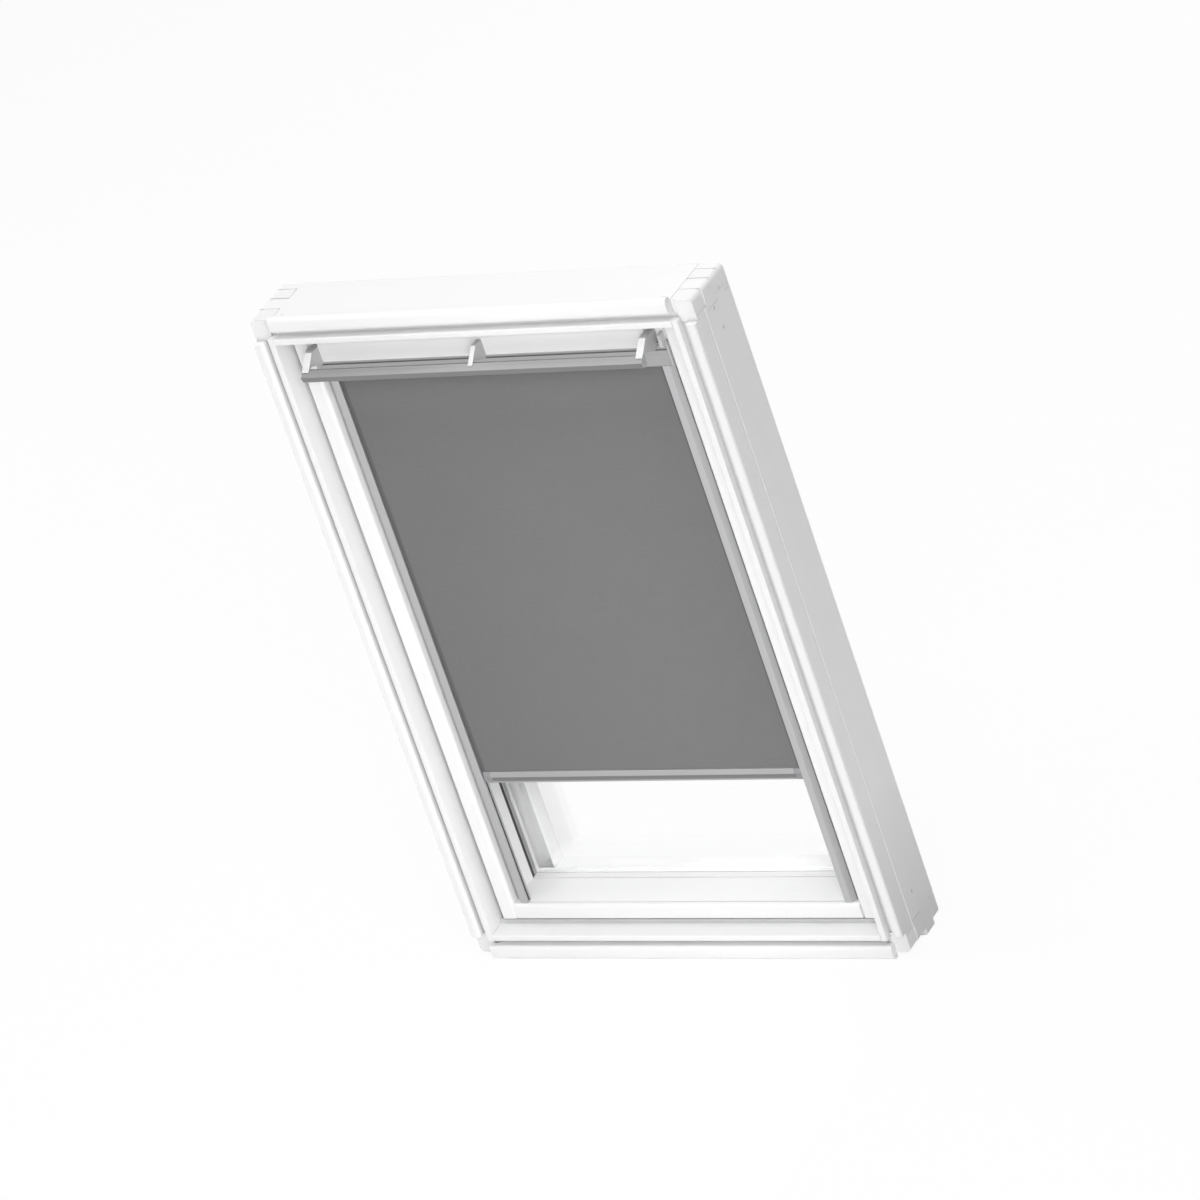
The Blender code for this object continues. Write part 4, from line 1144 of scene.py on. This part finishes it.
@dataclass
class OuterFrame(Assembly):
    """Wooden outer frame, with its seals, pivot plates and striker."""

    looks = {
        WHITE_UP: ("frame_side_left", "frame_side_right"),
        WHITE_ACROSS: ("frame_top", "frame_bottom"),
        BLACK_RUBBER: ("frame_seal_lower_left", "frame_seal_lower_right",
                       "frame_seal_upper_left", "frame_seal_upper_right"),
        GREY_RUBBER: ("frame_seal_bottom",),
        ZINC: ("pivot_plate_left", "pivot_plate_right", "striker_plate"),
    }
    plate_inset: float = 0.010
    latch_inset: float = 0.008
    housing: float = 0.0045
    arm_plate: float = 0.003
    screw_proud: float = 0.0003
    finger_lines: tuple[float, ...] = (-0.0145, 0.0170, 0.0440)
    glue_width: float = 0.0011
    glue_rise: float = 0.00012
    glue_short: float = 0.0025
    glue_round: float = 0.8

    def build_pieces(self) -> None:
        """Draw the joints between the fingers of the comb joints on the window's top."""
        for side in ("left", "right"):
            low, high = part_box("frame_side_" + side)
            start = low.x + (self.glue_short if side == "left" else 0.0)
            end = high.x - (self.glue_short if side == "right" else 0.0)
            for index, y in enumerate(self.finger_lines):
                line = eased_block(f"glue_line_{side}_{index}",
                                   Vector((start, y - self.glue_width / 2, high.z - self.glue_rise)),
                                   Vector((end, y + self.glue_width / 2, high.z + self.glue_rise)),
                                   self.glue_rise * self.glue_round, segments=2)
                self.seat(line, Body.FRAME, GLUE, "white_painted_pine")

    def seats(self) -> Iterator[Seat]:
        """Place the screws of both halves of the pivots, of the striker and of the latch case.

        Yields:
            The seats.
        """
        sink = self.screw.height - self.screw_proud
        for side, toward, away in (("left", Facing.RIGHT, Facing.LEFT),
                                   ("right", Facing.LEFT, Facing.RIGHT)):
            low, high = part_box("pivot_plate_" + side)
            arm_low, arm_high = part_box("pivot_arm_" + side)
            wall, arm_wall = high.x - self.housing, arm_high.x - self.arm_plate
            if side == "right":
                wall, arm_wall = low.x + self.housing, arm_low.x + self.arm_plate
            wall, arm_wall = wall - toward.value[0] * sink, arm_wall - away.value[0] * sink
            for index, (end, row) in enumerate(CORNERS):
                y = (low.y + high.y) / 2 + row * ((high.y - low.y) / 2 - self.plate_inset)
                z = (low.z + high.z) / 2 + end * ((high.z - low.z) / 2 - self.plate_inset)
                yield Seat(f"pivot_plate_screw_{side}_{index}", Vector((wall, y, z)), toward,
                           turned(index, first=20.0, step=37.0), Body.FRAME)
                yield Seat(f"pivot_arm_screw_{side}_{index}", Vector((arm_wall, y, z)), away,
                           turned(index, first=65.0, step=41.0), Body.SASH)
        low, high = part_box("striker_plate")
        for index, end in enumerate((-1, 1)):
            place = Vector((end * ((high.x - low.x) / 2 - self.plate_inset), (low.y + high.y) / 2,
                            low.z + sink))
            yield Seat(f"striker_screw_{index}", place, Facing.DOWN,
                       turned(index, first=15.0, step=50.0), Body.FRAME)
        low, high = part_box("latch_case")
        for index, (end, row) in enumerate(CORNERS):
            x = end * ((high.x - low.x) / 2 - self.latch_inset)
            y = (low.y + high.y) / 2 + row * ((high.y - low.y) / 2 - self.latch_inset)
            yield Seat(f"latch_screw_{index}", Vector((x, y, high.z - sink)), Facing.UP,
                       turned(index, first=10.0, step=33.0), Body.SASH)


@dataclass
class Sash(Assembly):
    """Wooden sash with its glass unit, outside covers, latch case and vent filter."""

    looks = {
        WHITE_UP: ("sash_stile_left", "sash_stile_right"),
        WHITE_ACROSS: ("sash_rail_top", "sash_rail_bottom"),
        BLACK_RUBBER: ("glazing_gasket",),
        SPACER_METAL: ("glass_spacer",),
        GLASS: ("glass_pane_inner", "glass_pane_outer"),
        COVER_SHEET: ("cover_left", "cover_right", "cover_top", "cover_bottom"),
        ZINC: ("pivot_arm_left", "pivot_arm_right", "latch_case", "latch_bolt"),
    }
    screw_depth: float = 0.45
    screw_shares: tuple[float, ...] = (0.07, 0.27, 0.73, 0.93)
    bead_rise: float = 0.0008
    bead_gap: float = 0.0003
    bead_nose: float = 0.0005
    edge_strip: float = 0.0003
    edge_strip_depth: float = 0.0075
    seal_gap: float = 0.00003
    seal_line: float = 0.0004
    seal_line_height: float = 0.0034
    strip_round: float = 0.3
    foam_gap: float = 0.0002
    foam_round: float = 0.0006
    foam_cells: int = 60
    foam_pores: float = 0.004
    foam_roughness: float = 0.0006

    def build_pieces(self) -> None:
        """Build the trim of the glass and the filter foam."""
        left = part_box("sash_stile_left")[1].x
        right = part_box("sash_stile_right")[0].x
        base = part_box("sash_rail_bottom")[1].z
        self.build_bead(left + self.bead_gap, right - self.bead_gap, base)
        self.build_strips(left, right, base)
        self.build_filter()

    def build_bead(self, left: float, right: float, base: float) -> None:
        """Build the white bead that covers the gasket's bottom run, between the stiles.

        Args:
            left: The x of its left end.
            right: The x of its right end.
            base: The z of its underside.
        """
        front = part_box("glazing_gasket")[0].y
        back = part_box("glass_pane_inner")[0].y - self.bead_gap
        top = base + self.bead_rise
        bead = start_block("glazing_bead_bottom", Vector((left, front, base)), Vector((right, back, top)))
        with at_the_bench(bead, "EDGE"):
            select_where(bead, "edges", lambda edge: all(
                vert.co.z > top - TOUCH and vert.co.y < front + TOUCH for vert in edge.verts))
            bpy.ops.mesh.bevel(offset=self.bead_nose, segments=3, affect="EDGES")
        self.seat(soft_shade(bead, degrees=40.0), Body.SASH, WHITE_ACROSS, "white_painted_pine")

    def build_strips(self, left: float, right: float, base: float) -> None:
        """Build the grey strips beside the glass, and the line of sealant at the outer pane's foot.

        Args:
            left: The x of the left stile's wall.
            right: The x of the right stile's wall.
            base: The z of the bottom rail's top.
        """
        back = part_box("glass_pane_inner")[0].y - self.bead_gap
        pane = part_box("glass_pane_outer")[0].y - self.seal_gap
        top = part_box("sash_rail_top")[0].z
        front, foot = back - self.edge_strip_depth, base + self.bead_rise + self.bead_gap
        thick, gap = self.edge_strip, self.bead_gap
        spans = {
            "glass_edge_strip_left": ((left, front, foot), (left + thick, back, top - thick)),
            "glass_edge_strip_right": ((right - thick, front, foot), (right, back, top - thick)),
            "glass_edge_strip_top": ((left + thick, front, top - thick), (right - thick, back, top)),
            "glass_seal_line_bottom": ((left + gap, pane - self.seal_line, base),
                                       (right - gap, pane, base + self.seal_line_height)),
        }
        for name, (low, high) in spans.items():
            finish, width = (EDGE_METAL, thick) if "edge" in name else (SPACER_METAL, self.seal_line)
            strip = eased_block(name, Vector(low), Vector(high), width * self.strip_round)
            self.seat(strip, Body.SASH, finish, "anodised_aluminium")

    def build_filter(self) -> None:
        """Build the strip of filter foam, with the rough skin of cut foam."""
        low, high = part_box("vent_filter")
        gap = Vector((0.0, self.foam_gap, self.foam_gap))
        strip = eased_block("filter_strip", low + gap, high - gap, self.foam_round, segments=2)
        with at_the_bench(strip, "EDGE", "SELECT"):
            bpy.ops.mesh.subdivide(number_cuts=2)
        for cut in range(1, self.foam_cells):
            x = low.x + (high.x - low.x) * cut / self.foam_cells
            with at_the_bench(strip, action="SELECT"):
                bpy.ops.mesh.bisect(plane_co=(x, 0.0, 0.0), plane_no=(1.0, 0.0, 0.0))
        skin = strip.modifiers.new("skin", "DISPLACE")
        skin.texture = bpy.data.textures.new("foam_skin", "CLOUDS")
        skin.texture.noise_scale = self.foam_pores
        skin.strength = -self.foam_roughness
        skin.mid_level = 0.0
        bake_modifiers(strip)
        self.seat(soft_shade(strip, degrees=60.0), Body.SASH, FOAM, "filter_foam")
        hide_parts("vent_filter")

    def seats(self) -> Iterator[Seat]:
        """Place the domed screws in the skirts of the side covers.

        Yields:
            The seats.
        """
        for side, facing in (("left", Facing.LEFT), ("right", Facing.RIGHT)):
            low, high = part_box("cover_" + side)
            face = low.x if facing is Facing.LEFT else high.x
            y = low.y + (high.y - low.y) * self.screw_depth
            for index, share in enumerate(self.screw_shares):
                place = Vector((face, y, low.z + (high.z - low.z) * share))
                yield Seat(f"cover_screw_{side}_{index}", place, facing,
                           turned(index, first=25.0, step=31.0), Body.SASH)


@dataclass
class VentFlap(Assembly):
    """Ventilation flap with its control bar, brackets, rod and bearings."""

    looks = {
        WHITE_ACROSS: ("flap_panel",),
        CONTROL_METAL: ("control_bar",),
        BRACKET_PLASTIC: ("bar_bracket_left", "bar_bracket_centre", "bar_bracket_right"),
        END_PLASTIC: ("rod_bearing_left", "rod_bearing_right"),
        ZINC: ("flap_rod",),
    }
    screw_back: float = 0.001
    screw_turn: float = 40.0

    def seats(self) -> Iterator[Seat]:
        """Place a screw up into the control bar under each bracket.

        Yields:
            The seats.
        """
        low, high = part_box("control_bar")
        for name in ("left", "centre", "right"):
            bracket_low, bracket_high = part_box("bar_bracket_" + name)
            x = (bracket_low.x + bracket_high.x) / 2
            yield Seat("bar_screw_" + name, Vector((x, (low.y + high.y) / 2 + self.screw_back, low.z)),
                       Facing.DOWN, self.screw_turn, Body.FLAP)


@dataclass
class RollerBlind(Assembly):
    """Blackout roller blind: casing, roller, fabric, bottom bar and side channels."""

    looks = {
        CASING_METAL: ("blind_casing", "roller_tube"),
        CHANNEL_METAL: ("side_channel_left", "side_channel_right"),
        BAR_METAL: ("bottom_bar",),
        END_PLASTIC: ("casing_end_left", "casing_end_right"),
        GREY_PLASTIC: ("roller_idler_plug", "roller_spring_cartridge"),
        GLIDE_PLASTIC: ("bar_glide_left", "bar_glide_right"),
        ZINC: ("casing_clip_left", "casing_clip_right"),
    }
    cloth_thickness: float = 0.0005
    wound_share: float = 0.9
    first_turn: float = 0.0137
    last_turn: float = 0.0170
    turns: float = 5.5
    points_per_turn: int = 40

    def build_pieces(self) -> None:
        """Build the hanging cloth and the wound cloth."""
        self.build_panel()
        self.build_roll()

    def build_panel(self) -> None:
        """Build the hanging cloth, from the roller down into the bottom bar."""
        low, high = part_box("fabric_panel")
        width, length = high.x - low.x, high.z - low.z
        centre = (low + high) / 2
        clear_selection()
        bpy.ops.mesh.primitive_plane_add(size=1.0)
        cloth = bpy.context.object
        cloth.name = "fabric_sheet"
        with at_the_bench(cloth, "VERT", "SELECT"):
            bpy.ops.transform.resize(value=(width, length, 1.0))
        cloth.data.transform(Matrix.Rotation(math.radians(90.0), 4, "X"))
        cloth.data.transform(Matrix.Translation(centre))
        self.lay_weave(cloth, lambda point: (point.x, point.z))
        thicken(cloth, self.cloth_thickness)
        CLOTH.put_on(cloth)
        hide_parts("fabric_panel")
        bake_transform(cloth)
        LOG.info("built %s from the roller to the bottom bar", cloth.name)

    def build_roll(self) -> None:
        """Wind the rest of the cloth on the roller as a spiral."""
        low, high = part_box("fabric_roll")
        centre = (low + high) / 2
        steps = int(self.turns * self.points_per_turn)
        clear_selection()
        bpy.ops.mesh.primitive_circle_add(vertices=steps, radius=self.first_turn, fill_type="NOTHING")
        roll = bpy.context.object
        roll.name = "fabric_winding"
        mesh = bmesh.new()
        mesh.from_mesh(roll.data)
        mesh.verts.ensure_lookup_table()
        ends = (mesh.verts[steps - 1], mesh.verts[0])
        closing = [edge for edge in mesh.edges if all(end in edge.verts for end in ends)]
        bmesh.ops.delete(mesh, geom=closing, context="EDGES_FACES")
        for index, vert in enumerate(mesh.verts):
            share = index / (steps - 1)
            angle = math.pi - math.tau * self.turns * share
            radius = self.first_turn + (self.last_turn - self.first_turn) * share
            vert.co = Vector((low.x, centre.y + radius * math.cos(angle),
                              centre.z + radius * math.sin(angle)))
        mesh.to_mesh(roll.data)
        mesh.free()
        with at_the_bench(roll, "EDGE", "SELECT"):
            bpy.ops.mesh.extrude_region_move(TRANSFORM_OT_translate={"value": (high.x - low.x, 0.0, 0.0)})
        self.lay_weave(roll, lambda point: (
            point.x, math.atan2(point.z - centre.z, point.y - centre.y) * self.last_turn))
        thicken(roll, self.cloth_thickness * self.wound_share)
        self.seat(soft_shade(roll, degrees=50.0), Body.ROLLER, CLOTH, "blackout_fabric")
        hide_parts("fabric_roll")

    def lay_weave(self, cloth: Piece, lay: Callable[[Vector], tuple[float, float]]) -> None:
        """Write a UV map in metres, so that the weave has its real size.

        Args:
            cloth: The cloth.
            lay: Gives the place on the flat cloth from a point of the mesh.
        """
        mesh = cloth.data
        layer = mesh.uv_layers.active or mesh.uv_layers.new(name="cloth")
        for loop in mesh.loops:
            layer.data[loop.index].uv = lay(mesh.vertices[loop.vertex_index].co)

    def seats(self) -> Iterator[Seat]:
        """Place the cross-recessed screws in the feet of the side channels.

        Yields:
            The seats.
        """
        for side, facing in (("left", Facing.RIGHT), ("right", Facing.LEFT)):
            for index, height in enumerate(("lower", "middle", "upper")):
                node = f"channel_screw_{height}_{side}"
                low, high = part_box(node)
                foot = low.x if facing is Facing.RIGHT else high.x
                place = Vector((foot, (low.y + high.y) / 2, (low.z + high.z) / 2))
                yield Seat(f"{node}_head", place, facing, turned(index, first=12.0, step=38.0), Body.SASH,
                           stands_for=node)


@dataclass
class Lamp:
    """An area lamp that points at the window, square unless it is made tall."""

    name: str
    place: Place
    size: float
    power: float
    target: Place = (0.0, 0.0, 0.6)
    tall: float = 1.0

    def hang(self) -> None:
        """Hang the lamp and point it."""
        light = bpy.data.lights.new(self.name, "AREA")
        light.shape = "RECTANGLE"
        light.size = self.size
        light.size_y = self.size * self.tall
        light.energy = self.power
        lamp = bpy.data.objects.new(self.name, light)
        lamp.location = self.place
        aim = Vector(self.target) - Vector(self.place)
        lamp.rotation_euler = aim.to_track_quat("-Z", "Y").to_euler()
        bpy.context.scene.collection.objects.link(lamp)
        LOG.info("hung lamp %s", self.name)


@dataclass
class Studio:
    """Pale floor, soft lamps, white surroundings and the camera."""

    lamps: tuple[Lamp, ...]
    sky: float = 0.10
    floor_half: float = 30.0
    floor_height: float = -0.0082
    floor_colour: Colour = (0.90, 0.90, 0.90)
    floor_glow: float = 0.93
    lens: float = 240.0
    sensor: float = 36.0
    farthest: float = 200.0
    eye: Place = (6.3178, -8.8792, 6.2026)
    right: Place = (0.8571, 0.4223, -0.2952)
    up: Place = (0.0217, 0.5429, 0.8395)
    ahead: Place = (-0.5148, 0.7259, -0.4561)

    def seen_directly(self, bench: Bench) -> Socket:
        """Mask the rays that see a surface straight, in a mirror or through glass.

        Args:
            bench: Bench to work at.

        Returns:
            1 for such rays, else 0.
        """
        path = bench.add("ShaderNodeLightPath")
        seen = bench.sums("MAXIMUM", path.outputs["Is Camera Ray"], path.outputs["Is Glossy Ray"])
        return bench.sums("MAXIMUM", seen, path.outputs["Is Transmission Ray"])

    def lay_floor(self) -> None:
        """Lay the floor: white to the eye, with the window's shadow kept."""
        clear_selection()
        bpy.ops.mesh.primitive_plane_add(size=2 * self.floor_half, location=(0.0, 0.0, self.floor_height))
        floor = bpy.context.object
        floor.name = "studio_floor"
        material = bpy.data.materials.new("studio_floor")
        material.use_nodes = True
        bench = Bench(material.node_tree)
        bench.tree.nodes.clear()
        matt = bench.add("ShaderNodeBsdfDiffuse", Color=(*self.floor_colour, 1.0))
        white = bench.add("ShaderNodeEmission")
        mixer = bench.add("ShaderNodeMixShader")
        bench.link(bench.times(self.seen_directly(bench), self.floor_glow), mixer.inputs["Fac"])
        bench.link(matt.outputs["BSDF"], mixer.inputs[1])
        bench.link(white.outputs["Emission"], mixer.inputs[2])
        bench.link(mixer.outputs["Shader"], bench.add("ShaderNodeOutputMaterial").inputs["Surface"])
        floor.data.materials.append(material)

    def wrap_sky(self) -> None:
        """Surround the window with soft light that looks white."""
        world = bpy.data.worlds.new("studio")
        bpy.context.scene.world = world
        world.use_nodes = True
        bench = Bench(world.node_tree)
        background = bench.tree.nodes["Background"]
        background.inputs["Color"].default_value = (1.0, 1.0, 1.0, 1.0)
        strength = bench.spread(self.seen_directly(bench), low=self.sky, high=1.0, start=0.0, end=1.0)
        bench.link(strength, background.inputs["Strength"])

    def place_camera(self) -> None:
        """Place the camera at the photograph's viewing angle."""
        data = bpy.data.cameras.new("camera")
        data.lens = self.lens
        data.sensor_width = self.sensor
        data.clip_end = self.farthest
        camera = bpy.data.objects.new("camera", data)
        turn = Matrix((self.right, self.up, tuple(-part for part in self.ahead))).transposed()
        camera.matrix_world = Matrix.Translation(self.eye) @ turn.to_4x4()
        bpy.context.scene.collection.objects.link(camera)
        bpy.context.scene.camera = camera

    def set_up(self) -> None:
        """Set up the whole studio."""
        self.place_camera()
        self.lay_floor()
        self.wrap_sky()
        for lamp in self.lamps:
            lamp.hang()
        bpy.context.scene.view_settings.view_transform = "Standard"


LAMPS = (
    Lamp("key", place=(2.7, -3.6, 3.2), size=2.4, power=94.0),
    Lamp("low_right", place=(1.8, -4.6, 0.9), size=1.6, power=37.0),
    Lamp("across", place=(0.43, -0.62, 0.62), size=0.35, power=3.9, target=(-1.0, -0.62, 0.62), tall=3.7),
    Lamp("above", place=(0.0, -0.8, 6.4), size=4.6, power=252.0),
    Lamp("left", place=(-4.6, 0.2, 1.8), size=3.0, power=66.0),
    Lamp("behind", place=(-0.6, 4.4, 2.4), size=3.4, power=48.0),
)
PLATE_SCREW = Screw("plate_screw", radius=0.0036, height=0.0016, dome=0.0003, sunk=True)
COVER_SCREW = Screw("cover_screw", radius=0.0042, height=0.0020, dome=0.0009)
BRACKET_SCREW = Screw("bracket_screw", radius=0.0026, height=0.0012, dome=0.0005, recess_depth=0.0007)
CHANNEL_SCREW = Screw("channel_screw", radius=0.0035, height=0.0020, dome=0.0009)


def main() -> None:
    """Set up the studio, then dress and build the window group by group."""
    logging.basicConfig(level=logging.INFO, format="%(name)s: %(message)s")
    Studio(LAMPS).set_up()
    groups = (OuterFrame(PLATE_SCREW), Sash(COVER_SCREW), VentFlap(BRACKET_SCREW),
              RollerBlind(CHANNEL_SCREW))
    for group in groups:
        LOG.info("starting %s", type(group).__name__)
        group.dress()
        group.build()
    clear_selection()


if __name__ == "__main__":
    main()
